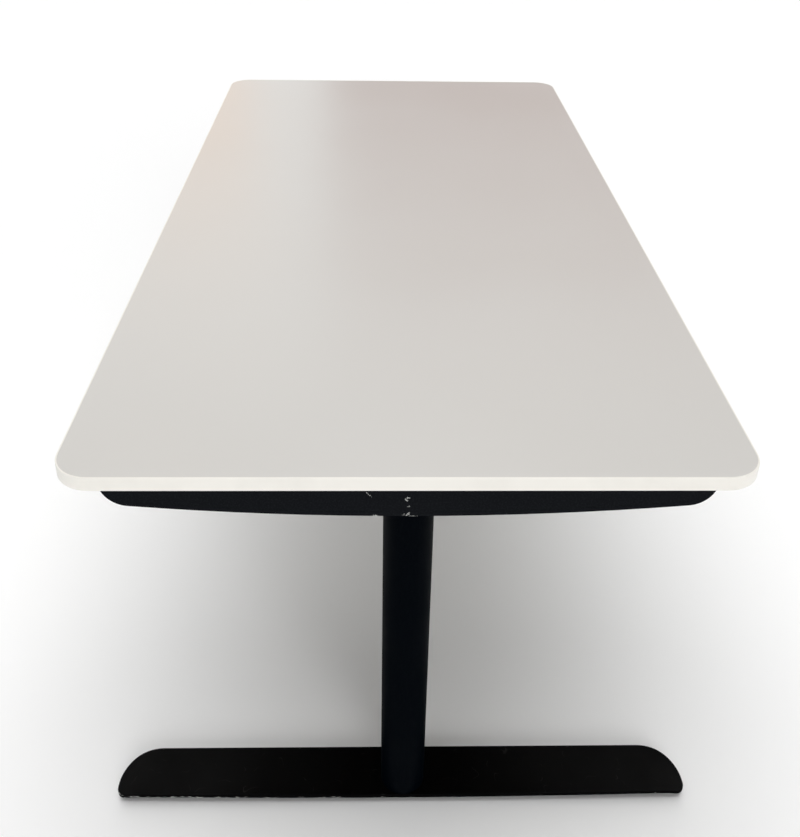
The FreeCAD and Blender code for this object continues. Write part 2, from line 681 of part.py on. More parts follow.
def rail_bolts():
    bolts = []
    for side, sign in SIDES.items():
        for end, way in ENDS.items():
            for step in SIDES.values():
                name = f"rail_bolt_{side}_{end}_{'inner' if step == way else 'outer'}"
                out = Vector(sign, 0, 0)
                y = f"{way} * rail_y + {step} * rail_bolt_y"
                z = "underside - rail_bolt_z"
                face = "(rail_span / 2 - rail_plate)"
                back = "(rail_span / 2 + arm_wall)"
                bolts.append(fused(name, [
                    cylinder(f"{name}_head", "screw_head", "screw_head_height",
                             f"{sign} * ({face} - screw_head_height)", y, z, out),
                    cylinder(f"{name}_shank", "screw_shank", "rail_plate + arm_wall + nut_height",
                             f"{sign} * {face}", y, z, out),
                    cylinder(f"{name}_nut", "nut_width", "nut_height", f"{sign} * {back}", y, z, out),
                ]))
    group("rail_bolts", bolts)


# Feet and glides

def foot(side, sign):
    """Flat steel foot with turned-down ends; its outer edge bulges and its inner corners are large."""
    label = f"{side}_foot"
    body = new_body(label)
    strip = sketch_on(body, "YZ_Plane", f"{label}_strip")
    upper_y = "foot_flat + foot_bend * tip_sine"
    upper_z = "foot_thickness - foot_bend * (1 - tip_cosine)"
    lower_y = "foot_flat + (foot_bend - foot_thickness) * tip_sine"
    lower_z = "foot_thickness - foot_bend + (foot_bend - foot_thickness) * tip_cosine"
    outline(strip, [
        ("line", "-foot_flat", "0"),
        ("arc", "foot_flat", "0"),
        ("line", lower_y, lower_z),
        ("arc_in", upper_y, upper_z),
        ("line", "foot_flat", "foot_thickness"),
        ("arc", "-foot_flat", "foot_thickness"),
        ("line", f"-({upper_y})", upper_z),
        ("arc_in", f"-({lower_y})", lower_z),
    ])
    pad(body, strip, f"{label}_plate", "2 * foot_width", both_ways=True)
    plan = sketch_on(body, "XY_Plane", f"{label}_plan")
    rectangle(plan, "4 * foot_width", "2 * foot_length")
    end = "foot_length / 2"
    outline(plan, [
        ("line", "foot_edge", f"foot_inner_corner - {end}"),
        ("arc", "foot_edge", f"{end} - foot_inner_corner"),
        ("line", "foot_edge - foot_inner_corner", end),
        ("arc", "foot_corner_x", end),
        ("arc", "foot_join_x", "foot_join_y"),
        ("arc", "foot_join_x", "-foot_join_y"),
        ("line", "foot_corner_x", f"-{end}"),
        ("arc", "foot_edge - foot_inner_corner", f"-{end}"),
    ])
    pocket(body, plan, f"{label}_trim", both_ways=True)
    round_edges(body, f"{label}_rounding", "foot_rounding", on_foot_rim)
    heads = sketch_on(body, "XY_Plane", f"{label}_head_holes")
    circles(heads, foot_screw_spots(), "head_hole")
    pocket(body, heads, f"{label}_counterbores", "screw_head_height + slide_gap")
    shanks = sketch_on(body, "XY_Plane", f"{label}_shank_holes")
    circles(shanks, foot_screw_spots(), "screw_hole")
    pocket(body, shanks, f"{label}_drilling")
    studs = sketch_on(body, "XY_Plane", f"{label}_stud_holes")
    circles(studs, [("0", f"{way} * glide_y") for way in ENDS.values()], "stud_bore")
    pocket(body, studs, f"{label}_tapping", "foot_thickness - foot_skin")
    place(body, x=f"{sign} * leg_x", z="foot_clearance", turn=facing(sign))


def on_foot_rim(edge):
    """True for the edges round the foot's upper face, flat or turned down."""
    flat, bend, top = (sizes[name] for name in ("foot_flat", "foot_bend", "foot_thickness"))
    first, last = edge.FirstParameter, edge.LastParameter
    spots = [edge.valueAt(first + share * (last - first)) for share in (0.05, 0.5, 0.95)]
    if all(abs(abs(spot.y) - flat) < 1e-4 for spot in spots):
        return False
    past = [max(abs(spot.y) - flat, 0) for spot in spots]
    levels = [top - bend + math.sqrt(bend ** 2 - run ** 2) for run in past]
    return all(abs(spot.z - level) < 1e-3 for spot, level in zip(spots, levels))


def foot_screw_spots():
    return [(f"{sign} * foot_screw_x", f"{end} * foot_screw_y")
            for sign in SIDES.values() for end in ENDS.values()]


def foot_screws():
    screws = []
    for side, sign in SIDES.items():
        for i, (x, y) in enumerate(foot_screw_spots()):
            name = f"{side}_foot_screw_{i}"
            across = f"{sign} * leg_x + {x}"
            seat = "(foot_clearance + screw_head_height + slide_gap)"
            screws.append(fused(name, [
                cylinder(f"{name}_head", "screw_head", "screw_head_height", across, y,
                         f"{seat} - screw_head_height"),
                cylinder(f"{name}_shank", "screw_shank", f"plate_top - stop_gap - {seat}", across, y, seat),
            ]))
    group("foot_screws", screws)


def glide(side, sign, end, way):
    """Levelling glide: a pad on a threaded stud that screws out of the foot."""
    rim = "glide_diameter / 2"
    body = turned(f"{side}_{end}_glide", [
        ("0", "0"),
        (f"{rim} - glide_rounding", "0"),
        (rim, "glide_rounding"),
        (rim, "glide_pad - glide_rounding"),
        (f"{rim} - 2 * glide_rounding", "glide_pad"),
        ("stud_diameter / 2", "glide_pad"),
        ("stud_diameter / 2", "stud_top"),
        ("0", "stud_top"),
    ])
    place(body, x=f"{sign} * leg_x", y=f"{way} * glide_y")


def glide_bushes():
    bushes = []
    for side, sign in SIDES.items():
        for end, way in ENDS.items():
            name = f"{side}_{end}_bush"
            spot = (f"{sign} * leg_x", f"{way} * glide_y", "glide_pad + slide_gap")
            height = "foot_clearance - glide_pad - slide_gap"
            bush = doc.addObject("Part::Cut", name)
            bush.Base = cylinder(f"{name}_blank", "stud_bore + 2 * bush_wall", height, *spot)
            bush.Tool = cylinder(f"{name}_bore", "stud_bore", height, *spot)
            bushes.append(bush)
    group("glide_bushes", bushes)


# Column tubes and their guides

def tube(label, sign, length, width, bottom, top):
    body = new_body(label)
    section = sketch_on(body, "XY_Plane", f"{label}_section")
    slot(section, length, width)
    slot(section, f"{length} - 2 * tube_wall", f"{width} - 2 * tube_wall")
    pad(body, section, f"{label}_wall", f"{top} - ({bottom})")
    place(body, x=f"{sign} * leg_x", z=bottom)
    return body


def guide(label, sign, outside, bore, moving, top):
    """Plastic collar plugged into the top of a tube, round the next tube."""
    body = new_body(label)
    for name, size, below, height in (
        ("rim", outside, "0", "guide_rim"),
        ("skirt", [f"{side} - 2 * fit_gap" for side in bore], "-guide_skirt", "guide_skirt"),
    ):
        ring = sketch_on(body, "XY_Plane", f"{label}_{name}_ring", below)
        slot(ring, *size)
        slot(ring, *[f"{side} + 2 * slide_gap" for side in moving])
        pad(body, ring, f"{label}_{name}", height)
    place(body, x=f"{sign} * leg_x", z=top)


def oval_plug(label, flange, plug, flange_height, plug_height):
    """Flange below a tube's end with a plug inside it."""
    body = new_body(label)
    lower = sketch_on(body, "XY_Plane", f"{label}_flange")
    slot(lower, *flange)
    pad(body, lower, f"{label}_flange_pad", flange_height)
    upper = sketch_on(body, "XY_Plane", f"{label}_plug")
    slot(upper, *plug)
    pad(body, upper, f"{label}_plug_pad", f"{flange_height} + {plug_height}")
    return body


def bore(body, name, diameter, height="0"):
    """Round hole from a height in the body up through its top."""
    hole = sketch_on(body, "XY_Plane", f"{body.Label}_{name}", height)
    circles(hole, [("0", "0")], diameter)
    pocket(body, hole, f"{body.Label}_{name}_cut")


def base_plate(side, sign):
    label = f"{side}_base_plate"
    body = new_body(label)
    face = sketch_on(body, "XY_Plane", f"{label}_face")
    slot(face, "outer_bore_length - 2 * fit_gap", "outer_bore_width - 2 * fit_gap")
    circles(face, foot_screw_spots(), "screw_hole")
    pad(body, face, f"{label}_plate", "base_plate")
    place(body, x=f"{sign} * leg_x", z="foot_top")


# Lifting drive inside a column

def lower_screw(side, sign):
    """Screw that stands still on the base plate."""
    tip = "lower_screw / 2"
    body = turned(f"{side}_lower_screw", [
        ("0", "plate_top"),
        (tip, "plate_top"),
        (tip, "lower_screw_top - stop_gap"),
        (f"{tip} - stop_gap", "lower_screw_top"),
        ("0", "lower_screw_top"),
    ])
    place(body, x=f"{sign} * leg_x")


def bearing_carrier(side, sign):
    body = oval_plug(f"{side}_bearing_carrier",
                     ("outer_bore_length - 2 * slide_gap", "outer_bore_width - 2 * slide_gap"),
                     ("middle_bore_length - 2 * fit_gap", "middle_bore_width - 2 * fit_gap"),
                     "carrier_flange", "carrier_plug")
    bore(body, "ledge_bore", "screw_flange + 2 * stop_gap")
    bore(body, "bearing_seat", "bearing_diameter + 2 * fit_gap", "bearing_ledge")
    place(body, x=f"{sign} * leg_x", z="carrier_bottom")


def bearing(side, sign):
    bore_radius, rim = "bearing_bore / 2", "bearing_diameter / 2"
    inner, outer = f"{bore_radius} + bearing_ring", f"{rim} - bearing_ring"
    top, seal = "bearing_height", "bearing_height - bearing_seal"
    body = turned(f"{side}_bearing", [
        (bore_radius, "0"),
        (inner, "0"),
        (inner, "bearing_seal"),
        (outer, "bearing_seal"),
        (outer, "0"),
        (rim, "0"),
        (rim, top),
        (outer, top),
        (outer, seal),
        (inner, seal),
        (inner, top),
        (bore_radius, top),
    ])
    place(body, x=f"{sign} * leg_x", z="bearing_bottom")


def screw_tube(side, sign):
    """Hollow screw: a nut at its foot runs on the lower screw, its outside lifts the inner tube."""
    label = f"{side}_screw_tube"
    wall, hollow = "screw_tube / 2", "screw_tube_bore / 2"
    nut_bore = "lower_screw / 2 + slide_gap"
    journal = "bearing_bottom - slide_gap"
    body = turned(label, [
        (nut_bore, "screw_bottom"),
        ("screw_flange / 2", "screw_bottom"),
        ("screw_flange / 2", journal),
        (wall, journal),
        (wall, "shoulder_bottom"),
        ("screw_shoulder / 2", "shoulder_bottom"),
        ("screw_shoulder / 2", "shoulder_bottom + shoulder_height"),
        (wall, "shoulder_bottom + shoulder_height"),
        (wall, "collar_bottom"),
        ("collar_diameter / 2", "collar_bottom"),
        ("collar_diameter / 2", "collar_top"),
        (hollow, "collar_top"),
        (hollow, "screw_bottom + screw_nut_length"),
        (nut_bore, "screw_bottom + screw_nut_length"),
    ])
    keyways = sketch_on(body, "XY_Plane", f"{label}_keyways", "collar_bottom")
    floor = "(sleeve_bore / 2 - key_height - slide_gap)"
    for way in SIDES.values():
        rectangle(keyways, "sleeve_bore / 2", "key_width + 2 * slide_gap",
                  x=f"{way} * ({floor} + sleeve_bore / 4)")
    pocket(body, keyways, f"{label}_keyway_cut")
    place(body, x=f"{sign} * leg_x")


def lift_nut(side, sign):
    body = oval_plug(f"{side}_lift_nut",
                     ("middle_bore_length - 2 * slide_gap", "middle_bore_width - 2 * slide_gap"),
                     ("inner_bore_length - 2 * fit_gap", "inner_bore_width - 2 * fit_gap"),
                     "nut_flange", "nut_plug")
    bore(body, "thread_bore", "screw_tube + 2 * slide_gap")
    place(body, x=f"{sign} * leg_x", z="nut_bottom")


def drive_sleeve(side, sign):
    """Sleeve that hangs from the gearbox and turns the screw's collar by two long keys."""
    label = f"{side}_drive_sleeve"
    hollow, wall = "sleeve_bore / 2", "sleeve_bore / 2 + sleeve_wall"
    body = turned(label, [
        (hollow, "sleeve_bottom"),
        (wall, "sleeve_bottom"),
        (wall, "sleeve_top"),
        ("stub_diameter / 2", "sleeve_top"),
        ("stub_diameter / 2", "sleeve_top + stub_length"),
        ("0", "sleeve_top + stub_length"),
        ("0", "hub_bottom"),
        (hollow, "hub_bottom"),
    ])
    keys = sketch_on(body, "XY_Plane", f"{label}_keys", "sleeve_bottom")
    for way in SIDES.values():
        rectangle(keys, "key_height + sleeve_wall / 2", "key_width",
                  x=f"{way} * (sleeve_bore / 2 - key_height / 2 + sleeve_wall / 4)")
    pad(body, keys, f"{label}_key_bars", "hub_bottom - sleeve_bottom")
    place(body, x=f"{sign} * leg_x")


def gearbox(side, sign):
    label = f"{side}_gearbox"
    body = new_body(label)
    flange = sketch_on(body, "XY_Plane", f"{label}_flange")
    slot(flange, "inner_bore_length - 2 * fit_gap", "inner_bore_width - 2 * fit_gap")
    pad(body, flange, f"{label}_flange_pad", "gearbox_flange")
    housing = sketch_on(body, "XY_Plane", f"{label}_housing")
    circles(housing, [("0", "0")], "inner_bore_width - 2 * motor_gap")
    pad(body, housing, f"{label}_housing_pad", "gearbox_height")
    shaft = sketch_on(body, "XY_Plane", f"{label}_shaft")
    circles(shaft, [("0", "0")], "stub_diameter + 2 * slide_gap")
    pocket(body, shaft, f"{label}_shaft_bore", "stub_length + stop_gap")
    place(body, x=f"{sign} * leg_x", z="gearbox_bottom")


def motor(side, sign):
    can = "inner_bore_width / 2 - motor_gap"
    cap = f"{can} - motor_step"
    rear = "motor_length - motor_boss"
    body = turned(f"{side}_motor", [
        ("0", "0"),
        (cap, "0"),
        (cap, "motor_cap"),
        (can, "motor_cap"),
        (can, f"{rear} - motor_cap"),
        (cap, f"{rear} - motor_cap"),
        (cap, rear),
        ("stub_diameter / 2", rear),
        ("stub_diameter / 2", "motor_length"),
        ("0", "motor_length"),
    ])
    place(body, x=f"{sign} * leg_x", z="motor_bottom")


def mounting_plate(side, sign):
    """Plate on the inner tube's top, screwed up against the arm's web."""
    label = f"{side}_mounting_plate"
    body = new_body(label)
    face = sketch_on(body, "XY_Plane", f"{label}_face")
    rounded_rectangle(face, "arm_width - 2 * arm_wall - 2 * mount_gap", "mount_length", "mount_corner")
    circles(face, mount_screws(), "screw_hole")
    pad(body, face, f"{label}_plate", "mount_plate")
    place(body, x=f"{sign} * leg_x", z="mount_bottom")


def mounting_screws():
    screws = []
    for side, sign in SIDES.items():
        for i, (x, y) in enumerate(mount_screws()):
            name = f"{side}_mounting_screw_{i}"
            across = f"{sign} * leg_x + {x}"
            screws.append(fused(name, [
                cylinder(f"{name}_head", "screw_head", "screw_head_height", across, y,
                         "mount_bottom - screw_head_height"),
                cylinder(f"{name}_shank", "screw_shank", "mount_plate + arm_wall", across, y,
                         "mount_bottom"),
            ]))
    group("mounting_screws", screws)


# Control box

def control_case():
    """Shell under the tabletop, open upwards, with ears, cooling slots and socket openings."""
    body = new_body("control_case")
    face = sketch_on(body, "XY_Plane", "control_case_face")
    rounded_rectangle(face, "case_length", "case_width", "case_corner")
    pad(body, face, "control_case_block", "case_height")

    def lower_rim(edge):
        return all(abs(vertex.Point.z) < 1e-6 for vertex in edge.Vertexes)
    round_edges(body, "control_case_rounding", "case_rounding", lower_rim)
    room = sketch_on(body, "XY_Plane", "control_case_room", "case_wall")
    rounded_rectangle(room, "case_length - 2 * case_wall", "case_width - 2 * case_wall",
                      "case_corner - case_wall")
    pocket(body, room, "control_case_hollow")
    posts = sketch_on(body, "XY_Plane", "control_case_posts")
    circles(posts, post_spots(), "boss_diameter")
    pad(body, posts, "control_case_post_pads", "case_wall + boss_height")
    for side, sign in SIDES.items():
        ears = sketch_on(body, "XY_Plane", f"control_case_{side}_ears", "case_height - case_wall")
        for end, way in ENDS.items():
            rectangle(ears, "case_ear + case_wall", "case_ear",
                      x=f"{sign} * (case_ear_x - case_wall / 2)", y=f"{way} * case_ear_y")
            circles(ears, [(f"{sign} * case_ear_x", f"{way} * case_ear_y")], "wood_hole")
        pad(body, ears, f"control_case_{side}_ear_pads", "case_wall")
    vents = sketch_on(body, "XY_Plane", "control_case_vent")
    rectangle(vents, "vent_width", "vent_length", x="-vent_pitch * (vent_count - 1) / 2")
    cut = pocket(body, vents, "control_case_vent_cut", "case_wall")
    row = body.newObject("PartDesign::LinearPattern", "control_case_vents")
    row.Originals = [cut]
    row.Direction = (vents, ["H_Axis"])
    bind(row, "Length", "vent_pitch * (vent_count - 1)")
    bind(row, "Occurrences", "vent_count")
    body.Tip = row
    doc.recompute()
    openings = sketch_on(body, "YZ_Plane", "control_case_sockets", "case_length / 2 - 2 * case_wall")
    for width, height, y in socket_spots():
        rectangle(openings, f"{width} + 2 * fit_gap", f"{height} + 2 * fit_gap", y,
                  f"case_end_z + {height} / 2")
    pocket(body, openings, "control_case_socket_cut", "4 * case_wall")
    place(body, x="case_x", z="case_z")


def post_spots():
    return [(f"{sign} * (case_length / 2 - case_wall - board_margin - boss_diameter)",
             f"{end} * (case_width / 2 - case_wall - board_margin - boss_diameter)")
            for sign in SIDES.values() for end in ENDS.values()]


def socket_spots():
    """Mains inlet first, then the lead sockets: width, height and place front to back."""
    inlet = [("inlet_width", "inlet_height", "-socket_pitch - inlet_width / 2")]
    return inlet + [("socket_width", "socket_height", f"{step} * socket_pitch") for step in (0, 1, 2)]


def control_lid():
    body = new_body("control_lid")
    face = sketch_on(body, "XY_Plane", "control_lid_face")
    rounded_rectangle(face, "case_length - 2 * case_wall - 2 * fit_gap",
                      "case_width - 2 * case_wall - 2 * fit_gap", "case_corner - case_wall")
    pad(body, face, "control_lid_plate", "lid_thickness")
    place(body, x="case_x", z="underside - lid_thickness")


def circuit_board():
    """Board on the case's posts with its transformer, capacitors and relays."""
    body = new_body("circuit_board")
    face = sketch_on(body, "XY_Plane", "circuit_board_face")
    rectangle(face, "case_length - 2 * case_wall - 2 * board_margin",
              "case_width - 2 * case_wall - 2 * board_margin")
    pad(body, face, "circuit_board_plate", "board_thickness")
    coil = sketch_on(body, "XY_Plane", "circuit_board_coil")
    rectangle(coil, "coil_length", "coil_width", x="-coil_length")
    pad(body, coil, "circuit_board_transformer", "board_thickness + coil_height")
    cans = sketch_on(body, "XY_Plane", "circuit_board_cans")
    circles(cans, [("coil_length / 4", f"{step} * can_pitch") for step in (-1, 0, 1)], "can_diameter")
    pad(body, cans, "circuit_board_capacitors", "board_thickness + coil_height")
    place(body, x="case_x", z="case_z + case_wall + boss_height")


def socket(name, width, height, depth, wall, y, pins):
    """Block set in the case's end wall with a cavity for a plug, and pins where it has any."""
    body = doc.addObject("PartDesign::Body", name)
    block = sketch_on(body, "YZ_Plane", f"{name}_block")
    rectangle(block, width, height, y=f"{height} / 2")
    pad(body, block, f"{name}_pad", depth, downwards=True)
    cavity = sketch_on(body, "YZ_Plane", f"{name}_cavity")
    rectangle(cavity, f"{width} - 2 * {wall}", f"{height} - 2 * {wall}", y=f"{height} / 2")
    for step in pins:
        rectangle(cavity, "pin_size / 2", "pin_size", x=f"{step} * pin_pitch", y=f"{height} / 2")
    pocket(body, cavity, f"{name}_cut", f"{depth} - {wall}", along_normal=False)
    place(body, x="case_x + case_length / 2", y=y, z="case_z + case_end_z")
    return body


def sockets():
    (width, height, y), *leads = socket_spots()
    inlet = socket("mains_inlet", width, height, "inlet_depth", "inlet_wall", y, (-1, 0, 1))
    inlet.Label = "mains_inlet"
    nodes.append(inlet)
    group("lead_sockets", [socket(f"lead_socket_{i}", width, height, "socket_depth", "socket_wall", y, ())
                           for i, (width, height, y) in enumerate(leads)])


# Handset

def handset_screw_spots():
    return [(f"{sign} * handset_screw_x", "0") for sign in SIDES.values()]


def handset_housing():
    """Shell under the front edge, open upwards, with two button openings in its face."""
    body = new_body("handset_housing")
    face = sketch_on(body, "XY_Plane", "handset_plan")
    rounded_rectangle(face, "handset_length", "handset_depth", "handset_corner")
    pad(body, face, "handset_block", "handset_height")

    def lower_rim(edge):
        return all(abs(vertex.Point.z) < 1e-6 for vertex in edge.Vertexes)
    round_edges(body, "handset_lower_rounding", "handset_rounding", lower_rim)
    room = sketch_on(body, "XY_Plane", "handset_room", "handset_wall")
    rounded_rectangle(room, "handset_length - 2 * handset_wall", "handset_depth - 2 * handset_wall",
                      "handset_corner - handset_wall")
    pocket(body, room, "handset_hollow")
    posts = sketch_on(body, "XY_Plane", "handset_posts", "handset_wall / 2")
    circles(posts, handset_screw_spots(), "wood_head + 2 * handset_wall")
    pad(body, posts, "handset_post_pads", "handset_height - lid_thickness - handset_wall / 2")
    shanks = sketch_on(body, "XY_Plane", "handset_shank_holes")
    circles(shanks, handset_screw_spots(), "wood_hole")
    pocket(body, shanks, "handset_drilling")
    heads = sketch_on(body, "XY_Plane", "handset_head_holes")
    circles(heads, handset_screw_spots(), "wood_head + 2 * slide_gap")
    pocket(body, heads, "handset_counterbores", "handset_wall")
    openings = sketch_on(body, "XZ_Plane", "handset_button_openings", "-handset_face - 2 * handset_wall")
    for sign in SIDES.values():
        rectangle(openings, "button_length + 2 * slide_gap", "button_height + 2 * slide_gap",
                  f"{sign} * button_pitch / 2", "button_z")
    pocket(body, openings, "handset_button_cut", "4 * handset_wall")
    place(body, x="handset_x", y="handset_y", z="handset_z")


def handset_lid():
    body = new_body("handset_lid")
    face = sketch_on(body, "XY_Plane", "handset_lid_face")
    rounded_rectangle(face, "handset_length - 2 * handset_wall - 2 * fit_gap",
                      "handset_depth - 2 * handset_wall - 2 * fit_gap", "handset_corner - handset_wall")
    circles(face, handset_screw_spots(), "wood_hole")
    pad(body, face, "handset_lid_plate", "lid_thickness")
    place(body, x="handset_x", y="handset_y", z="underside - lid_thickness")


def handset_board():
    """Upright circuit board behind the buttons, standing on the housing's floor."""
    body = new_body("handset_board")
    face = sketch_on(body, "XZ_Plane", "handset_board_face")
    height = "handset_height - lid_thickness - handset_wall - slide_gap"
    rectangle(face, "button_pitch + button_length", height, y=f"({height}) / 2")
    pad(body, face, "handset_board_plate", "board_thickness", downwards=True)
    place(body, x="handset_x", y="handset_y + handset_board_y", z="handset_z + handset_wall")


def button(label, sign):
    """Push button: a cap in front of the housing and a rim behind its wall."""
    body = new_body(label)
    cap = sketch_on(body, "XZ_Plane", f"{label}_cap")
    rectangle(cap, "button_length", "button_height")
    pad(body, cap, f"{label}_cap_pad", "button_proud + handset_wall + slide_gap + button_rim")
    front = body.Shape.BoundBox.YMin

    def on_front(edge):
        return all(abs(vertex.Point.y - front) < 1e-6 for vertex in edge.Vertexes)
    round_edges(body, f"{label}_rounding", "button_rounding", on_front)
    rim = sketch_on(body, "XZ_Plane", f"{label}_rim")
    rectangle(rim, "button_length + 2 * button_rim", "button_height + 2 * button_rim")
    pad(body, rim, f"{label}_rim_pad", "button_rim")
    place(body, x=f"handset_x + {sign} * button_pitch / 2",
          y="handset_y + handset_face + handset_wall + slide_gap + button_rim",
          z="handset_z + button_z")


# Assembly

def leg(side, sign):
    foot(side, sign)
    for end, way in ENDS.items():
        glide(side, sign, end, way)
    base_plate(side, sign)
    tube(f"{side}_outer_tube", sign, "column_length", "column_width", "foot_top", "outer_top")
    guide(f"{side}_outer_guide", sign, ("column_length", "column_width"),
          ("outer_bore_length", "outer_bore_width"), ("middle_length", "middle_width"), "outer_top")
    lower_screw(side, sign)
    tube(f"{side}_middle_tube", sign, "middle_length", "middle_width", "middle_bottom", "middle_top")
    guide(f"{side}_middle_guide", sign, ("middle_length", "middle_width"),
          ("middle_bore_length", "middle_bore_width"), ("inner_length", "inner_width"), "middle_top")
    bearing_carrier(side, sign)
    bearing(side, sign)
    screw_tube(side, sign)
    tube(f"{side}_inner_tube", sign, "inner_length", "inner_width", "inner_bottom", "mount_bottom")
    lift_nut(side, sign)
    drive_sleeve(side, sign)
    gearbox(side, sign)
    motor(side, sign)
    mounting_plate(side, sign)
    arm(side, sign)


def desk():
    tabletop()
    edge_band()
    board_screws()
    for side, sign in SIDES.items():
        leg(side, sign)
    glide_bushes()
    foot_screws()
    mounting_screws()
    for end, sign in ENDS.items():
        rail(end, sign)
    rail_bolts()
    control_case()
    control_lid()
    circuit_board()
    sockets()
    handset_housing()
    handset_lid()
    handset_board()
    button("down_button", -1)
    button("up_button", 1)


def check():
    """Stop before anything is written if an object failed or a shape is unsound."""
    doc.recompute()
    for item in doc.Objects:
        if "Invalid" in item.State or "Error" in item.State:
            raise RuntimeError(f"{item.Label}: {item.State}")
    for node in nodes:
        if node.Shape.isNull() or not node.Shape.isValid():
            raise RuntimeError(f"{node.Label} has no sound shape")


desk()
check()
os.makedirs("parts", exist_ok=True)
for node in nodes:
    node.Shape.exportStep(f"parts/{node.Label}.step")
print(f"{len(nodes)} pieces, stroke of one stage {places.stage_stroke:.1f} mm")
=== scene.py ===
import math

import bmesh
import bpy
from mathutils import Matrix, Vector


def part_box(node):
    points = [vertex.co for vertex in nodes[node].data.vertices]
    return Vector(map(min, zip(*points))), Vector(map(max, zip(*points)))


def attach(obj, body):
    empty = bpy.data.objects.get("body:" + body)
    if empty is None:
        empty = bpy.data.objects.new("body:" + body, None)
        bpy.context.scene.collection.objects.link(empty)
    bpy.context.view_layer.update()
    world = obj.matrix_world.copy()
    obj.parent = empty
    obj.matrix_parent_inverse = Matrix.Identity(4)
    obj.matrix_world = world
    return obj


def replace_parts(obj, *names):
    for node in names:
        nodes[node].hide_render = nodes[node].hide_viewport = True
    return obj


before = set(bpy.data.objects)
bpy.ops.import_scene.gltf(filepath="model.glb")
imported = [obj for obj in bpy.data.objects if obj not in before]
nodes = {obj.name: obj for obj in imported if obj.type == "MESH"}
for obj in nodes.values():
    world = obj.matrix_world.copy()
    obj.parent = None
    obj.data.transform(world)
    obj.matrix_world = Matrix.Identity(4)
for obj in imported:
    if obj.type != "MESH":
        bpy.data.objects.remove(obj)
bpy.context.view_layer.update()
mm = 0.001
tiny = 0.01 * mm  # points nearer than this are one point
bothWays = (-1, 1)
print("frame:", len(nodes), "CAD pieces")


# Small helpers for materials

def linear(code):  # sRGB hex to the linear colour that a shader takes
    parts = [int(code[i:i + 2], 16) / 255 for i in (1, 3, 5)]
    return [p / 12.92 if p < 0.04045 else ((p + 0.055) / 1.055) ** 2.4 for p in parts] + [1.0]


def addNode(tree, kind, settings, inputs):  # a value that is a socket is linked, any other is set
    node = tree.nodes.new("ShaderNode" + kind)
    for name, value in settings.items():
        setattr(node, name, value)
    for name, value in inputs.items():
        if isinstance(value, bpy.types.NodeSocket):
            tree.links.new(value, node.inputs[name])
        else:
            node.inputs[name].default_value = value
    return node.outputs


def newMaterial(name, fixed):  # fixed values go on the shader's own sockets
    material = bpy.data.materials.new(name)
    material.use_nodes = True
    tree = material.node_tree
    shader = tree.nodes["Principled BSDF"]
    for socket, value in fixed.items():
        shader.inputs[socket].default_value = value
    place = addNode(tree, "TexCoord", {}, {})
    return material, tree, shader, place


def perMetre(size):  # pattern scale for features of a size in mm
    return 1 / (size * mm)


def bothSides(*pieces):
    return [side + "_" + piece for side in ("left", "right") for piece in pieces]


def dress(material, *names):
    for name in names:
        for slot in nodes[name].material_slots:
            slot.material = material


# Tabletop board

boardLook = {
    "face": "#D1CFCB",
    "faceDrift": "#CECBC6",
    "back": "#B9B6AF",       # darker than the face: painted shade on the underside, which also dims the light thrown onto the floor
    "driftSize": 340,        # mm, slow drift of tone in the printed paper
    "pressGrain": 2.6,       # mm; the press plate's pearl is about 0.6 mm and would not show
    "grainDepth": 0.004,     # mm
    "rubLength": 260,        # mm, wiping patches in the sheen
    "roughness": (0.28, 0.32),
}


def melamineBoard():
    # Melamine film hot-pressed on particle board: an even off-white with a satin sheen,
    # which mirrors what is around it only as broad soft patches.
    look = boardLook
    material, tree, shader, place = newMaterial("melamineBoard",
                                                {"IOR": 1.5, "Specular IOR Level": 0.75})
    spot = place["Object"]
    drift = addNode(tree, "TexNoise", {},
                    {"Vector": spot, "Scale": perMetre(look["driftSize"]), "Detail": 2})
    tone = addNode(tree, "Mix", {"data_type": "RGBA"},
                   {0: drift["Fac"], 6: linear(look["face"]), 7: linear(look["faceDrift"])})
    facing = addNode(tree, "SeparateXYZ", {}, {0: place["Normal"]})
    # Faces turned downwards take the darker underside tone: painted shade.
    under = addNode(tree, "MapRange", {},
                    {"Value": facing["Z"], "From Min": -0.3, "From Max": -0.6})
    colour = addNode(tree, "Mix", {"data_type": "RGBA"},
                     {0: under["Result"], 6: tone[2], 7: linear(look["back"])})
    tree.links.new(colour[2], shader.inputs["Base Color"])
    rub = addNode(tree, "TexNoise", {},
                  {"Vector": spot, "Scale": perMetre(look["rubLength"]), "Detail": 1})
    sheen = addNode(tree, "MapRange", {}, {
        "Value": rub["Fac"], "From Min": 0.3, "From Max": 0.7,
        "To Min": look["roughness"][0], "To Max": look["roughness"][1]})
    tree.links.new(sheen["Result"], shader.inputs["Roughness"])
    grain = addNode(tree, "TexNoise", {},
                    {"Vector": spot, "Scale": perMetre(look["pressGrain"]), "Detail": 1})
    relief = addNode(tree, "Bump", {},
                     {"Height": grain["Fac"], "Distance": look["grainDepth"] * mm})
    tree.links.new(relief["Normal"], shader.inputs["Normal"])
    return material


# Edge band

bandLook = {
    "colour": "#EFECE5",
    "rubbed": "#E8E5DE",     # where hands and sleeves pass
    "rubSize": 70,           # mm
    "scraper": 1.1,          # mm between the scraper's lines; real ones are finer
    "scraperDepth": 0.01,    # mm
    "roughness": (0.34, 0.5),
}


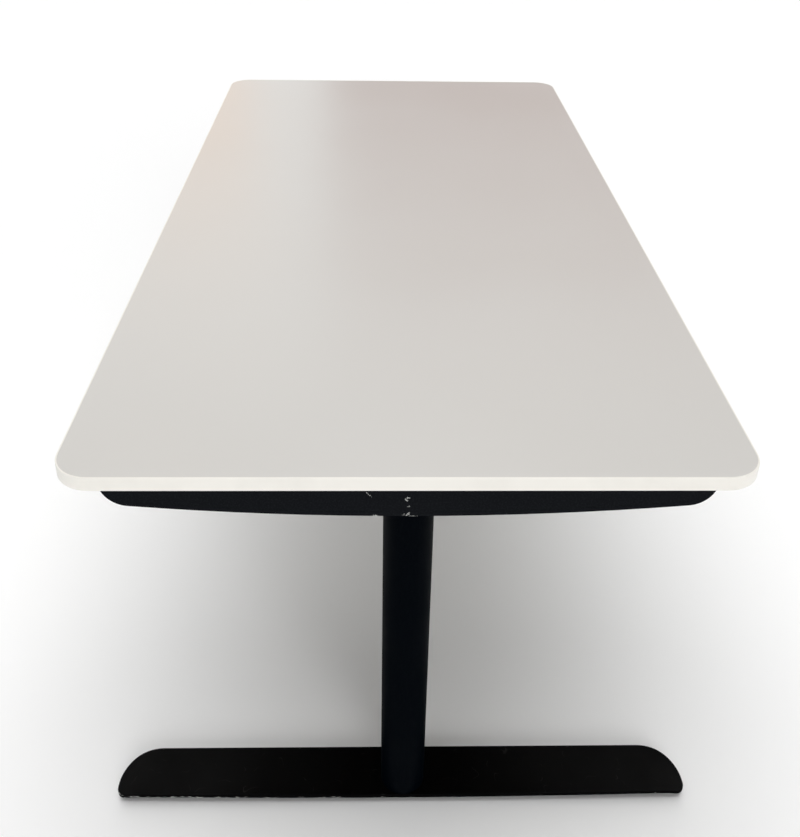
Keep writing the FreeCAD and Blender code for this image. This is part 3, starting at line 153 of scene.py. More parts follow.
def edgeBandAbs():
    # Extruded ABS strip, scraped flush: whiter than the film, with faint lines along its length.
    look = bandLook
    material, tree, shader, place = newMaterial("edgeBandAbs",
                                                {"IOR": 1.53, "Specular IOR Level": 0.4})
    spot = place["Object"]
    rub = addNode(tree, "TexNoise", {},
                  {"Vector": spot, "Scale": perMetre(look["rubSize"]), "Detail": 4})
    worn = addNode(tree, "MapRange", {}, {"Value": rub["Fac"], "From Min": 0.5, "From Max": 0.8})
    colour = addNode(tree, "Mix", {"data_type": "RGBA"},
                     {0: worn["Result"], 6: linear(look["colour"]), 7: linear(look["rubbed"])})
    tree.links.new(colour[2], shader.inputs["Base Color"])
    sheen = addNode(tree, "MapRange", {}, {
        "Value": rub["Fac"], "To Min": look["roughness"][0], "To Max": look["roughness"][1]})
    tree.links.new(sheen["Result"], shader.inputs["Roughness"])
    strip = addNode(tree, "Mapping", {}, {"Vector": spot, "Scale": (0.02, 0.02, 1.0)})
    lines = addNode(tree, "TexNoise", {},
                    {"Vector": strip["Vector"], "Scale": perMetre(look["scraper"])})
    relief = addNode(tree, "Bump", {},
                     {"Height": lines["Fac"], "Distance": look["scraperDepth"] * mm})
    tree.links.new(relief["Normal"], shader.inputs["Normal"])
    return material


dress(melamineBoard(), "tabletop")
dress(edgeBandAbs(), "edge_band")
print("tabletop dressed")


# Black frame: powder coat with the chips and specks of a used desk

coatLook = {
    "arm": {"tones": ("#0F1114", "#181A1D"), "specular": 0.02},  # hollows and tops of the pebbles
    # Feet, columns and sliding tubes carry the same coat as the arms; their darker tones are
    # painted shade.
    "foot": {"tones": ("#020202", "#060607"), "specular": 0.01},
    "tube": {"tones": ("#000205", "#03060A"), "specular": 0.015},
    "stage": {"tones": ("#010306", "#05080C"), "specular": 0.02},  # sliding tubes
    "rail": {"tones": ("#0E1013", "#17191C"), "specular": 0.1},
    # dust, which also serves as the painted sheen on the feet's ends
    "dusty": "#1A1A1A",
    "dustReach": (70, 380),  # mm from the column, where dust and painted sheen start and where they are strongest
    "dustAndSheenAtEnds": 1.5,        # at the feet's ends: dust that shoes bring, and a painted sheen that lightens the ends
    "grain": 2.2,            # mm; the real pebble is about 0.5 mm and would not show
    "grainDepth": 0.045,     # mm
    "dustSize": 150,         # mm
    "roughness": (0.46, 0.62),
    "bare": "#B9BBB8",       # pale primer under a chip
    "flake": 1.6,            # mm, ragged edges of a chip
    "markDepth": 4,          # mm, reach of a mark round a flange's edge
    "chipDepth": 3.0,        # times the pebble's height
    "speckSpacing": 34,      # mm from one speck of lint or grit to the next
    "speckSize": 0.015,      # part of that spacing
    "hairCurl": 30,          # mm, bends of the hairs that lie in the dust
    "hairLength": 16,        # mm
    "hairWidth": 0.004,      # of the noise's range
    "hairTone": 0.09,        # how much of a hair shows
    "speck": "#6E6C69",
}

# Marks on the arms' outer flanges: mm along the arm from its middle, mm above its lower edge,
# half length and half height in mm, tilt in degrees
armMarks = {
    "left": [(47.5, 32, 7.5, 1.0, 51), (2.0, 26.2, 2.2, 1.9, 0), (5.4, 24.6, 1.7, 1.7, 0),
             (3.6, 22.2, 3.0, 1.1, 10), (1.6, 13.8, 2.4, 2.2, -50), (8.2, 1.4, 3.8, 1.5, -40),
             (2.6, 2.6, 5.0, 1.9, -45), (-3.6, 0.2, 6.0, 0.5, 0), (39, 0.6, 4.2, 1.7, 0)],
    "right": [(-120, 1.2, 4.2, 2.0, 10), (64, 20, 5.0, 0.8, -35)],
}

# Chips along the feet's outer lower edge
footChipLook = {
    "height": 14.6,          # mm above the floor, where the chips end
    "fade": 0.7,             # mm below that height
    "length": 9,             # mm
    "stretch": (1.0, 0.4, 1.6),  # of the flakes' pattern across, along and up
    "span": (-150, 300),     # mm along the foot, from rare chips to thick ones
    "rare": 0.66,
    "thick": 0.545,          # lower lets more chips through
}


def armChips(tree, place):
    total = None
    for side, marks in armMarks.items():
        low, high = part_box(side + "_arm")
        face = low.x if side == "left" else high.x
        for along, up, halfLength, halfHeight, tilt in marks:
            local = addNode(tree, "Mapping", {"vector_type": "TEXTURE"}, {
                "Vector": place["Object"], "Location": (face, along * mm, low.z + up * mm),
                "Rotation": (math.radians(tilt), 0, 0),
                "Scale": (coatLook["markDepth"] * mm, halfLength * mm, halfHeight * mm)})
            ball = addNode(tree, "TexGradient", {"gradient_type": "SPHERICAL"},
                           {"Vector": local["Vector"]})
            total = ball["Fac"] if total is None else addNode(
                tree, "Math", {"operation": "MAXIMUM"}, {0: total, 1: ball["Fac"]})[0]
    flakes = addNode(tree, "TexNoise", {}, {
        "Vector": place["Object"], "Scale": perMetre(coatLook["flake"]),
        "Detail": 2, "Roughness": 0.6})
    torn = addNode(tree, "MapRange", {}, {
        "Value": flakes["Fac"], "From Min": 0.38, "From Max": 0.62, "To Min": -0.6, "To Max": 0.6})
    ragged = addNode(tree, "Math", {"operation": "ADD"}, {0: total, 1: torn["Result"]})
    bare = addNode(tree, "MapRange", {}, {"Value": ragged[0], "From Min": 0.45, "From Max": 0.8})
    near = addNode(tree, "Math", {"operation": "GREATER_THAN"}, {0: total, 1: 0.06})
    return addNode(tree, "Math", {"operation": "MULTIPLY"}, {0: bare["Result"], 1: near[0]})[0]


def footChips(tree, place):
    look = footChipLook
    spot = addNode(tree, "SeparateXYZ", {}, {0: place["Object"]})
    facing = addNode(tree, "SeparateXYZ", {}, {0: place["Normal"]})
    side = addNode(tree, "Math", {"operation": "SIGN"}, {0: spot["X"]})
    outward = addNode(tree, "Math", {"operation": "MULTIPLY"}, {0: facing["X"], 1: side[0]})
    onEdge = addNode(tree, "MapRange", {}, {"Value": outward[0], "From Min": 0.2, "From Max": 0.5})
    nearFloor = addNode(tree, "MapRange", {}, {
        "Value": spot["Z"], "From Min": look["height"] * mm,
        "From Max": (look["height"] - look["fade"]) * mm})
    band = addNode(tree, "Math", {"operation": "MULTIPLY"},
                   {0: onEdge["Result"], 1: nearFloor["Result"]})
    along = addNode(tree, "Mapping", {}, {"Vector": place["Object"], "Scale": look["stretch"]})
    flakes = addNode(tree, "TexNoise", {}, {
        "Vector": along["Vector"], "Scale": perMetre(look["length"] * look["stretch"][1]),
        "Detail": 4, "Roughness": 0.65})
    limit = addNode(tree, "MapRange", {}, {
        "Value": spot["Y"], "From Min": look["span"][0] * mm, "From Max": look["span"][1] * mm,
        "To Min": look["rare"], "To Max": look["thick"]})
    over = addNode(tree, "Math", {"operation": "SUBTRACT"}, {0: flakes["Fac"], 1: limit["Result"]})
    chip = addNode(tree, "MapRange", {}, {"Value": over[0], "From Min": 0.0, "From Max": 0.03})
    return addNode(tree, "Math", {"operation": "MULTIPLY"}, {0: band[0], 1: chip["Result"]})[0]


def powderCoat(name, kind, chips=None):
    # Polyester powder baked on steel: near black and matt, with a fine pebble that breaks
    # highlights into a soft sheen; knocks show the pale primer.
    look = coatLook
    tones, specular = look[kind]["tones"], look[kind]["specular"]
    material, tree, shader, place = newMaterial(name, {"IOR": 1.5, "Specular IOR Level": specular})
    spot = place["Object"]
    grain = addNode(tree, "TexNoise", {},
                    {"Vector": spot, "Scale": perMetre(look["grain"]), "Detail": 2})
    pebble = addNode(tree, "MapRange", {},
                     {"Value": grain["Fac"], "From Min": 0.45, "From Max": 0.75})
    tone = addNode(tree, "Mix", {"data_type": "RGBA"},
                   {0: pebble["Result"], 6: linear(tones[0]), 7: linear(tones[1])})
    dust = addNode(tree, "TexNoise", {},
                   {"Vector": spot, "Scale": perMetre(look["dustSize"]), "Detail": 6})
    facing = addNode(tree, "SeparateXYZ", {}, {0: place["Normal"]})
    upward = addNode(tree, "MapRange", {}, {"Value": facing["Z"], "From Min": 0.4, "From Max": 0.9})
    part = addNode(tree, "SeparateXYZ", {}, {0: spot})
    away = addNode(tree, "Math", {"operation": "ABSOLUTE"}, {0: part["Y"]})
    # Dust thickens towards the feet's ends, and with it a painted sheen that lightens them.
    dustAndSheenRamp = addNode(tree, "MapRange", {}, {
        "Value": away[0], "From Min": look["dustReach"][0] * mm,
        "From Max": look["dustReach"][1] * mm, "To Max": look["dustAndSheenAtEnds"]})
    thick = addNode(tree, "Math", {"operation": "MULTIPLY"}, {0: dust["Fac"], 1: dustAndSheenRamp["Result"]})
    dustAndSheenOnTops = addNode(tree, "Math", {"operation": "MULTIPLY"}, {0: thick[0], 1: upward["Result"]})
    tone = addNode(tree, "Mix", {"data_type": "RGBA"},
                   {0: dustAndSheenOnTops[0], 6: tone[2], 7: linear(look["dusty"])})
    cells = addNode(tree, "TexVoronoi", {},
                    {"Vector": spot, "Scale": perMetre(look["speckSpacing"])})
    inSpeck = addNode(tree, "Math", {"operation": "LESS_THAN"},
                      {0: cells["Distance"], 1: look["speckSize"]})
    curl = addNode(tree, "TexNoise", {},
                   {"Vector": spot, "Scale": perMetre(look["hairCurl"]), "Detail": 1})
    onHair = addNode(tree, "Math", {"operation": "COMPARE"},
                     {0: curl["Fac"], 1: 0.5, 2: look["hairWidth"]})
    cut = addNode(tree, "TexNoise", {},
                  {"Vector": spot, "Scale": perMetre(look["hairLength"]), "Detail": 0})
    piece = addNode(tree, "MapRange", {}, {
        "Value": cut["Fac"], "From Min": 0.6, "From Max": 0.7, "To Max": look["hairTone"]})
    litter = addNode(tree, "Math", {"operation": "MULTIPLY_ADD"},
                     {0: onHair[0], 1: piece["Result"], 2: inSpeck[0]})
    lint = addNode(tree, "Math", {"operation": "MULTIPLY", "use_clamp": True},
                   {0: litter[0], 1: upward["Result"]})
    tone = addNode(tree, "Mix", {"data_type": "RGBA"},
                   {0: lint[0], 6: tone[2], 7: linear(look["speck"])})
    height = grain["Fac"]
    if chips:
        bare = chips(tree, place)
        tone = addNode(tree, "Mix", {"data_type": "RGBA"},
                       {0: bare, 6: tone[2], 7: linear(look["bare"])})
        height = addNode(tree, "Math", {"operation": "MULTIPLY_ADD"},
                         {0: bare, 1: -look["chipDepth"], 2: height})[0]
    tree.links.new(tone[2], shader.inputs["Base Color"])
    sheen = addNode(tree, "MapRange", {}, {
        "Value": dust["Fac"], "From Min": 0.3, "From Max": 0.7,
        "To Min": look["roughness"][0], "To Max": look["roughness"][1]})
    tree.links.new(sheen["Result"], shader.inputs["Roughness"])
    relief = addNode(tree, "Bump", {}, {"Height": height, "Distance": look["grainDepth"] * mm})
    tree.links.new(relief["Normal"], shader.inputs["Normal"])
    return material


dress(powderCoat("powderCoatArm", "arm", armChips), *bothSides("arm"))
dress(powderCoat("powderCoatFoot", "foot", footChips), *bothSides("foot"))
dress(powderCoat("powderCoatTube", "tube"), *bothSides("outer_tube"))
dress(powderCoat("powderCoatStage", "stage"), *bothSides("middle_tube", "inner_tube"))
dress(powderCoat("powderCoatRail", "rail"), "front_rail", "rear_rail")
print("frame coated")


# Bare metals of screws, plates and the drive

zincLook = {
    "colour": "#C2C4C6",
    "tint": "#B8B29F",       # passivation film
    "blotch": 14,            # mm
    "roughness": (0.3, 0.46),
}


def zincPlate():
    # Bright zinc with a passivation film: silver with faint straw-coloured blotches.
    look = zincLook
    material, tree, shader, place = newMaterial("zincPlatedSteel", {"Metallic": 1.0})
    blotch = addNode(tree, "TexNoise", {},
                     {"Vector": place["Object"], "Scale": perMetre(look["blotch"]), "Detail": 4})
    film = addNode(tree, "MapRange", {},
                   {"Value": blotch["Fac"], "From Min": 0.4, "From Max": 0.75})
    colour = addNode(tree, "Mix", {"data_type": "RGBA"},
                     {0: film["Result"], 6: linear(look["colour"]), 7: linear(look["tint"])})
    tree.links.new(colour[2], shader.inputs["Base Color"])
    sheen = addNode(tree, "MapRange", {}, {
        "Value": blotch["Fac"], "To Min": look["roughness"][0], "To Max": look["roughness"][1]})
    tree.links.new(sheen["Result"], shader.inputs["Roughness"])
    return material


threadLook = {
    "colour": "#B4B6B8",
    "grease": "#5E5645",     # grease left in the flanks
    "lead": 8,               # mm a turn
    "depth": 0.9,            # mm
    "axis": 747.5,           # mm from the middle of the desk to a column's axis
}


def threadedSteel():
    # Rolled trapezoidal thread: bright crests and greasy flanks that wind up the screw.
    look = threadLook
    material, tree, shader, place = newMaterial("rolledThreadSteel",
                                                {"Metallic": 1.0, "Roughness": 0.3})
    spot = addNode(tree, "SeparateXYZ", {}, {0: place["Object"]})
    side = addNode(tree, "Math", {"operation": "ABSOLUTE"}, {0: spot["X"]})
    across = addNode(tree, "Math", {"operation": "SUBTRACT"}, {0: side[0], 1: look["axis"] * mm})
    angle = addNode(tree, "Math", {"operation": "ARCTAN2"}, {0: spot["Y"], 1: across[0]})
    turn = addNode(tree, "Math", {"operation": "DIVIDE"}, {0: angle[0], 1: 2 * math.pi})
    climb = addNode(tree, "Math", {"operation": "MULTIPLY_ADD"},
                    {0: spot["Z"], 1: perMetre(look["lead"]), 2: turn[0]})
    wave = addNode(tree, "Math", {"operation": "PINGPONG"}, {0: climb[0], 1: 0.5})
    crest = addNode(tree, "MapRange", {}, {"Value": wave[0], "From Min": 0.16, "From Max": 0.34})
    colour = addNode(tree, "Mix", {"data_type": "RGBA"},
                     {0: crest["Result"], 6: linear(look["grease"]), 7: linear(look["colour"])})
    tree.links.new(colour[2], shader.inputs["Base Color"])
    relief = addNode(tree, "Bump", {}, {"Height": crest["Result"], "Distance": look["depth"] * mm})
    tree.links.new(relief["Normal"], shader.inputs["Normal"])
    return material


ringSteelLook = {
    "colour": "#C9CBCD",
    "lines": 1.4,            # mm, coarser than ground rings have
    "roughness": (0.14, 0.34),
}


def groundSteel():
    # Ground bearing rings: bright, with fine turning lines.
    look = ringSteelLook
    material, tree, shader, place = newMaterial("groundBearingSteel", {"Metallic": 1.0})
    shader.inputs["Base Color"].default_value = linear(look["colour"])
    ring = addNode(tree, "Mapping", {}, {"Vector": place["Object"], "Scale": (0.05, 0.05, 1.0)})
    lines = addNode(tree, "TexNoise", {},
                    {"Vector": ring["Vector"], "Scale": perMetre(look["lines"])})
    sheen = addNode(tree, "MapRange", {}, {
        "Value": lines["Fac"], "To Min": look["roughness"][0], "To Max": look["roughness"][1]})
    tree.links.new(sheen["Result"], shader.inputs["Roughness"])
    return material


castLook = {
    "colour": "#A7A9AC",
    "hollow": "#8F9194",     # low spots of the skin, painted darker as shade
    "skin": 1.8,             # mm
    "depth": 0.08,           # mm
}


def castAluminium():
    # Die-cast housing: grey, dull and slightly orange-peeled from the die.
    look = castLook
    material, tree, shader, place = newMaterial("dieCastAluminium",
                                                {"Metallic": 1.0, "Roughness": 0.52})
    skin = addNode(tree, "TexNoise", {},
                   {"Vector": place["Object"], "Scale": perMetre(look["skin"]), "Detail": 3})
    # The skin's low spots are painted darker: painted shade.
    colour = addNode(tree, "Mix", {"data_type": "RGBA"},
                     {0: skin["Fac"], 6: linear(look["hollow"]), 7: linear(look["colour"])})
    tree.links.new(colour[2], shader.inputs["Base Color"])
    relief = addNode(tree, "Bump", {}, {"Height": skin["Fac"], "Distance": look["depth"] * mm})
    tree.links.new(relief["Normal"], shader.inputs["Normal"])
    return material


drawnLook = {
    "colour": "#BFC1C3",
    "lines": 0.9,            # mm between die lines, coarser than real
    "roughness": (0.22, 0.48),
}


def drawnAluminium():
    # Drawn sleeve: silver with long die lines.
    look = drawnLook
    material, tree, shader, place = newMaterial("drawnAluminium", {"Metallic": 1.0})
    shader.inputs["Base Color"].default_value = linear(look["colour"])
    long = addNode(tree, "Mapping", {}, {"Vector": place["Object"], "Scale": (1.0, 1.0, 0.02)})
    lines = addNode(tree, "TexNoise", {},
                    {"Vector": long["Vector"], "Scale": perMetre(look["lines"])})
    sheen = addNode(tree, "MapRange", {}, {
        "Value": lines["Fac"], "To Min": look["roughness"][0], "To Max": look["roughness"][1]})
    tree.links.new(sheen["Result"], shader.inputs["Roughness"])
    return material


motorLook = {
    "can": "#2B2D30",
    "mottled": "#35373A",
    "mottle": 6,             # mm
    "cap": "#8E9093",
    "paintStop": 16.8,       # mm from each end
}


def motorCan():
    # Deep-drawn can in dark paint between bare end caps.
    look = motorLook
    material, tree, shader, place = newMaterial("paintedMotorCan", {"Roughness": 0.45})
    low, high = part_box("left_motor")
    spot = addNode(tree, "SeparateXYZ", {}, {0: place["Object"]})
    middle = addNode(tree, "Math", {"operation": "SUBTRACT"},
                     {0: spot["Z"], 1: (low.z + high.z) / 2})
    away = addNode(tree, "Math", {"operation": "ABSOLUTE"}, {0: middle[0]})
    reach = (high.z - low.z) / 2 - look["paintStop"] * mm
    cap = addNode(tree, "Math", {"operation": "GREATER_THAN"}, {0: away[0], 1: reach})
    mottle = addNode(tree, "TexNoise", {},
                     {"Vector": place["Object"], "Scale": perMetre(look["mottle"])})
    paint = addNode(tree, "Mix", {"data_type": "RGBA"},
                    {0: mottle["Fac"], 6: linear(look["can"]), 7: linear(look["mottled"])})
    colour = addNode(tree, "Mix", {"data_type": "RGBA"},
                     {0: cap[0], 6: paint[2], 7: linear(look["cap"])})
    tree.links.new(colour[2], shader.inputs["Base Color"])
    tree.links.new(cap[0], shader.inputs["Metallic"])
    return material


zinc = zincPlate()
dress(zinc, "glide_bushes", *bothSides("base_plate", "mounting_plate"))
dress(threadedSteel(), *bothSides("lower_screw", "screw_tube"))
dress(groundSteel(), *bothSides("bearing"))
dress(castAluminium(), *bothSides("gearbox"))
dress(drawnAluminium(), *bothSides("drive_sleeve"))
dress(motorCan(), *bothSides("motor"))
print("drive dressed")


# Plastics

plasticLook = {              # grain and its depth in mm
    "acetal": {"colours": ("#131315", "#1D1D20"),
               "grain": 5.0, "depth": 0.02, "roughness": (0.34, 0.46)},
    "sparkAbs": {"colours": ("#141517", "#1F2023"),
                 "grain": 1.3, "depth": 0.06, "roughness": (0.5, 0.66)},
    "softAbs": {"colours": ("#2F3134", "#383A3E"),
                "grain": 1.0, "depth": 0.02, "roughness": (0.42, 0.52)},
    "nylon": {"colours": ("#DCDBD5", "#E8E7E2"),
              "grain": 2.4, "depth": 0.02, "roughness": (0.4, 0.5)},
    "handled": 30,           # mm, patches that hands polish
}


def mouldedPlastic(name, kind):
    look = plasticLook[kind]
    material, tree, shader, place = newMaterial(name, {"IOR": 1.5, "Specular IOR Level": 0.35})
    dark, light = look["colours"]
    grain = addNode(tree, "TexNoise", {}, {
        "Vector": place["Object"], "Scale": perMetre(look["grain"]), "Detail": 3, "Roughness": 0.6})
    colour = addNode(tree, "Mix", {"data_type": "RGBA"},
                     {0: grain["Fac"], 6: linear(dark), 7: linear(light)})
    tree.links.new(colour[2], shader.inputs["Base Color"])
    hands = addNode(tree, "TexNoise", {}, {
        "Vector": place["Object"], "Scale": perMetre(plasticLook["handled"]), "Detail": 2})
    sheen = addNode(tree, "MapRange", {}, {
        "Value": hands["Fac"], "From Min": 0.3, "From Max": 0.7,
        "To Min": look["roughness"][0], "To Max": look["roughness"][1]})
    tree.links.new(sheen["Result"], shader.inputs["Roughness"])
    relief = addNode(tree, "Bump", {}, {"Height": grain["Fac"], "Distance": look["depth"] * mm})
    tree.links.new(relief["Normal"], shader.inputs["Normal"])
    return material, tree, shader, place


pinLook = {"colour": "#B9B7AE", "halfHeight": 1.7, "halfSpan": 9, "depth": 15, "inset": 0.1}  # mm


def inletPlastic():
    # Spark-textured inlet with nickel-plated blades in its cavity.
    look = pinLook
    material, tree, shader, place = mouldedPlastic("inletThermoplastic", "sparkAbs")
    low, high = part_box("mains_inlet")
    middle = (low + high) / 2
    near = addNode(tree, "VectorMath", {"operation": "SUBTRACT"},
                   {0: place["Object"], 1: (high.x - look["depth"] / 2 * mm, middle.y, middle.z)})
    away = addNode(tree, "VectorMath", {"operation": "ABSOLUTE"}, {0: near["Vector"]})
    part = addNode(tree, "SeparateXYZ", {}, {0: away["Vector"]})
    inside = None
    for axis, reach in (("X", look["depth"] / 2 - look["inset"]), ("Y", look["halfSpan"]),
                        ("Z", look["halfHeight"])):
        within = addNode(tree, "Math", {"operation": "LESS_THAN"}, {0: part[axis], 1: reach * mm})
        inside = within[0] if inside is None else addNode(
            tree, "Math", {"operation": "MULTIPLY"}, {0: inside, 1: within[0]})[0]
    plastic = shader.inputs["Base Color"].links[0].from_socket
    colour = addNode(tree, "Mix", {"data_type": "RGBA"},
                     {0: inside, 6: plastic, 7: linear(look["colour"])})
    tree.links.new(colour[2], shader.inputs["Base Color"])
    tree.links.new(inside, shader.inputs["Metallic"])
    return material


boardGreenLook = {
    "mask": "#12482A",
    "track": "#1E6B3C",
    "copper": "#B4925A",
    "part": "#1B1C1F",
    "pitch": 5,              # mm
    "trackWidth": 0.032,     # mortar width of the brick pattern that draws the tracks
    "padSize": 0.12,         # part of two pitches
    "thickness": 1.7,        # mm; what stands higher is a part on the board
}


def solderMask(name, node, upAxis):
    # Green lacquer over copper: tracks show through as lighter lines, parts stand on it in black.
    look = boardGreenLook
    material, tree, shader, place = newMaterial(name, {"IOR": 1.5, "Roughness": 0.3})
    low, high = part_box(node)
    turn = math.radians(90) if upAxis == "Y" else 0
    flat = addNode(tree, "Mapping", {}, {"Vector": place["Object"], "Rotation": (turn, 0, 0)})
    bricks = addNode(tree, "TexBrick", {"offset": 0.5, "squash": 0.6}, {
        "Vector": flat["Vector"], "Scale": perMetre(look["pitch"]) / 2,
        "Mortar Size": look["trackWidth"], "Mortar": linear(look["track"]),
        "Color1": linear(look["mask"]), "Color2": linear(look["mask"])})
    pads = addNode(tree, "TexVoronoi", {},
                   {"Vector": flat["Vector"], "Scale": perMetre(look["pitch"] * 2)})
    onPad = addNode(tree, "Math", {"operation": "LESS_THAN"},
                    {0: pads["Distance"], 1: look["padSize"]})
    face = addNode(tree, "Mix", {"data_type": "RGBA"},
                   {0: onPad[0], 6: bricks["Color"], 7: linear(look["copper"])})
    spot = addNode(tree, "SeparateXYZ", {}, {0: place["Object"]})
    above = addNode(tree, "Math", {"operation": "GREATER_THAN"},
                    {0: spot[upAxis], 1: getattr(low, upAxis.lower()) + look["thickness"] * mm})
    colour = addNode(tree, "Mix", {"data_type": "RGBA"},
                     {0: above[0], 6: face[2], 7: linear(look["part"])})
    tree.links.new(colour[2], shader.inputs["Base Color"])
    return material


rubberLook = {"colour": "#161617", "dusty": "#262627", "scuff": 4, "depth": 0.05}  # mm


def mouldedRubber():
    # Moulded rubber: dull and nearly black, greyed in patches by floor dust.
    look = rubberLook
    material, tree, shader, place = newMaterial("mouldedRubber",
                                                {"Roughness": 0.82, "Specular IOR Level": 0.25})
    scuff = addNode(tree, "TexNoise", {},
                    {"Vector": place["Object"], "Scale": perMetre(look["scuff"]), "Detail": 4})
    colour = addNode(tree, "Mix", {"data_type": "RGBA"},
                     {0: scuff["Fac"], 6: linear(look["colour"]), 7: linear(look["dusty"])})
    tree.links.new(colour[2], shader.inputs["Base Color"])
    relief = addNode(tree, "Bump", {}, {"Height": scuff["Fac"], "Distance": look["depth"] * mm})
    tree.links.new(relief["Normal"], shader.inputs["Normal"])
    return material


# Guides of machined acetal: slippery, so a touch glossier than the coat around them
dress(mouldedPlastic("acetal", "acetal")[0],
      *bothSides("outer_guide", "middle_guide", "bearing_carrier", "lift_nut"))
# Housings of ABS from a spark-eroded mould: an even, dull grain
dress(mouldedPlastic("sparkTexturedAbs", "sparkAbs")[0],
      "control_case", "control_lid", "handset_housing", "handset_lid")
# Buttons of finer ABS, polished a little by fingers
dress(mouldedPlastic("buttonAbs", "softAbs")[0], "up_button", "down_button")
# Sockets of natural nylon: milky and slightly uneven
dress(mouldedPlastic("naturalNylon", "nylon")[0], "lead_sockets")
dress(inletPlastic(), "mains_inlet")
dress(solderMask("controlBoardMask", "circuit_board", "Z"), "circuit_board")
dress(solderMask("handsetBoardMask", "handset_board", "Y"), "handset_board")
print("plastics dressed")


# Pieces made here, each riding on the body that carries it

sharpAngle = 32              # degrees between faces that meet in a sharp edge


def meshObject(name, mesh, material):
    data = bpy.data.meshes.new(name)
    mesh.to_mesh(data)
    mesh.free()
    data.materials.append(material)
    made = bpy.data.objects.new(name, data)
    bpy.context.scene.collection.objects.link(made)
    return made


def newPiece(name, mesh, material, body):
    bmesh.ops.recalc_face_normals(mesh, faces=mesh.faces)
    piece = meshObject(name, mesh, material)
    piece.data.shade_smooth()
    piece.data.set_sharp_from_angle(angle=math.radians(sharpAngle))
    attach(piece, body)
    return piece


# Levelling glides: a ringed pad on a threaded stud, in place of the plain CAD ones

padLook = {
    "radius": 16,            # mm
    "height": 5,
    "chamfer": 1.5,
    "soften": 0.4,           # rounding of the rim's edges
    "grooves": (4.4, 8.0, 11.6),  # radii of the grip grooves underneath
    "grooveWidth": 1.6,
    "grooveDepth": 0.7,
    "sides": 48,
}

studLook = {
    "crest": 4.0,            # mm, half the thread's outside
    "root": 3.4,
    "pitch": 1.25,
    "flanks": (0.42, 0.58),  # parts of a turn where the crest starts and ends
    "steps": 24,             # to a turn
    "overlap": 0.3,          # mm that the stud goes into the pad
}


def ringedPad(look):  # half an outline, spun round the glide's axis
    radius, height, chamfer = look["radius"], look["height"], look["chamfer"]
    half, depth = look["grooveWidth"] / 2, look["grooveDepth"]
    outline = [(0, 0)]
    for middle in look["grooves"]:
        outline += [(middle - half, 0), (middle - half / 2, depth),
                    (middle + half / 2, depth), (middle + half, 0)]
    outline += [(radius - chamfer, 0), (radius, chamfer), (radius, height - chamfer),
                (radius - 2 * chamfer, height), (0, height)]
    mesh = bmesh.new()
    verts = [mesh.verts.new((away * mm, 0, up * mm)) for away, up in outline]
    edges = [mesh.edges.new(ends) for ends in zip(verts, verts[1:])]
    bmesh.ops.spin(mesh, geom=verts + edges, axis=(0, 0, 1), angle=2 * math.pi,
                   steps=look["sides"], use_merge=True)
    bmesh.ops.remove_doubles(mesh, verts=mesh.verts, dist=tiny)
    inside = (radius - 2.5 * chamfer) * mm
    rim = [edge for edge in mesh.edges if abs(edge.verts[0].co.z - edge.verts[1].co.z) < tiny
           and all(vert.co.xy.length > inside for vert in edge.verts)]
    bmesh.ops.bevel(mesh, geom=rim, offset=look["soften"] * mm, segments=2, profile=0.5,
                    affect="EDGES", material=-1)
    return mesh


def threadedStud(look, low, high):  # one turn's flanks, spun upwards and cut off square
    pitch, steps = look["pitch"] * mm, look["steps"]
    turns = math.ceil((high - low) / pitch) + 3  # one and a half to spare at each end
    start = low - 1.5 * pitch
    rise, fall = look["flanks"]
    flanks = [(look["root"], 0), (look["crest"], rise), (look["crest"], fall), (look["root"], 1)]
    mesh = bmesh.new()
    verts = [mesh.verts.new((away * mm, 0, start + share * pitch)) for away, share in flanks]
    edges = [mesh.edges.new(ends) for ends in zip(verts, verts[1:])]
    bmesh.ops.spin(mesh, geom=verts + edges, axis=(0, 0, 1), dvec=(0, 0, pitch / steps),
                   angle=turns * 2 * math.pi, steps=turns * steps)
    bmesh.ops.remove_doubles(mesh, verts=mesh.verts, dist=tiny)
    for level, outwards in ((low, -1), (high, 1)):
        whole = list(mesh.verts) + list(mesh.edges) + list(mesh.faces)
        bmesh.ops.bisect_plane(mesh, geom=whole, plane_co=(0, 0, level), plane_no=(0, 0, outwards),
                               clear_outer=True)
    bmesh.ops.holes_fill(mesh, edges=[edge for edge in mesh.edges if edge.is_boundary], sides=0)
    return mesh


rubber = mouldedRubber()
for glide in bothSides("front_glide", "rear_glide"):
    low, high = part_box(glide)
    spot = Vector(((low.x + high.x) / 2, (low.y + high.y) / 2, low.z))
    pad = ringedPad(padLook)
    stud = threadedStud(studLook, (padLook["height"] - studLook["overlap"]) * mm, high.z - low.z)
    for mesh in (pad, stud):
        bmesh.ops.translate(mesh, verts=mesh.verts, vec=spot)
    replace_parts(newPiece(glide + "_pad", pad, rubber, glide), glide)
    newPiece(glide + "_stud", stud, zinc, glide)
print("glides made")


# Screws with drive recesses, in place of the plain CAD ones

# Sizes in mm; tip is a share of the shank, armShare the width of the cross's arms to its size
woodScrew = {
    "head": 8.5, "headHeight": 2.5, "crown": 0.9, "shank": 4, "tip": 0.35, "length": 15,
    "drive": "cross", "driveSize": 4.4, "driveDepth": 1.5, "armShare": 0.27,
}
machineScrew = {
    "head": 10, "headHeight": 3, "crown": 0.7, "shank": 6, "tip": 0.9, "length": 7.6,
    "drive": "hex", "driveSize": 4, "driveDepth": 1.9,
}
handsetScrew = dict(woodScrew, length=32.4)
plateScrew = dict(machineScrew, length=7.4)
railBolt = dict(machineScrew, length=10.4, nut=10, nutHeight=4.9)
turnedLook = {"headSides": 24, "shankSides": 20, "rim": 0.2}  # rim in mm, round the recess

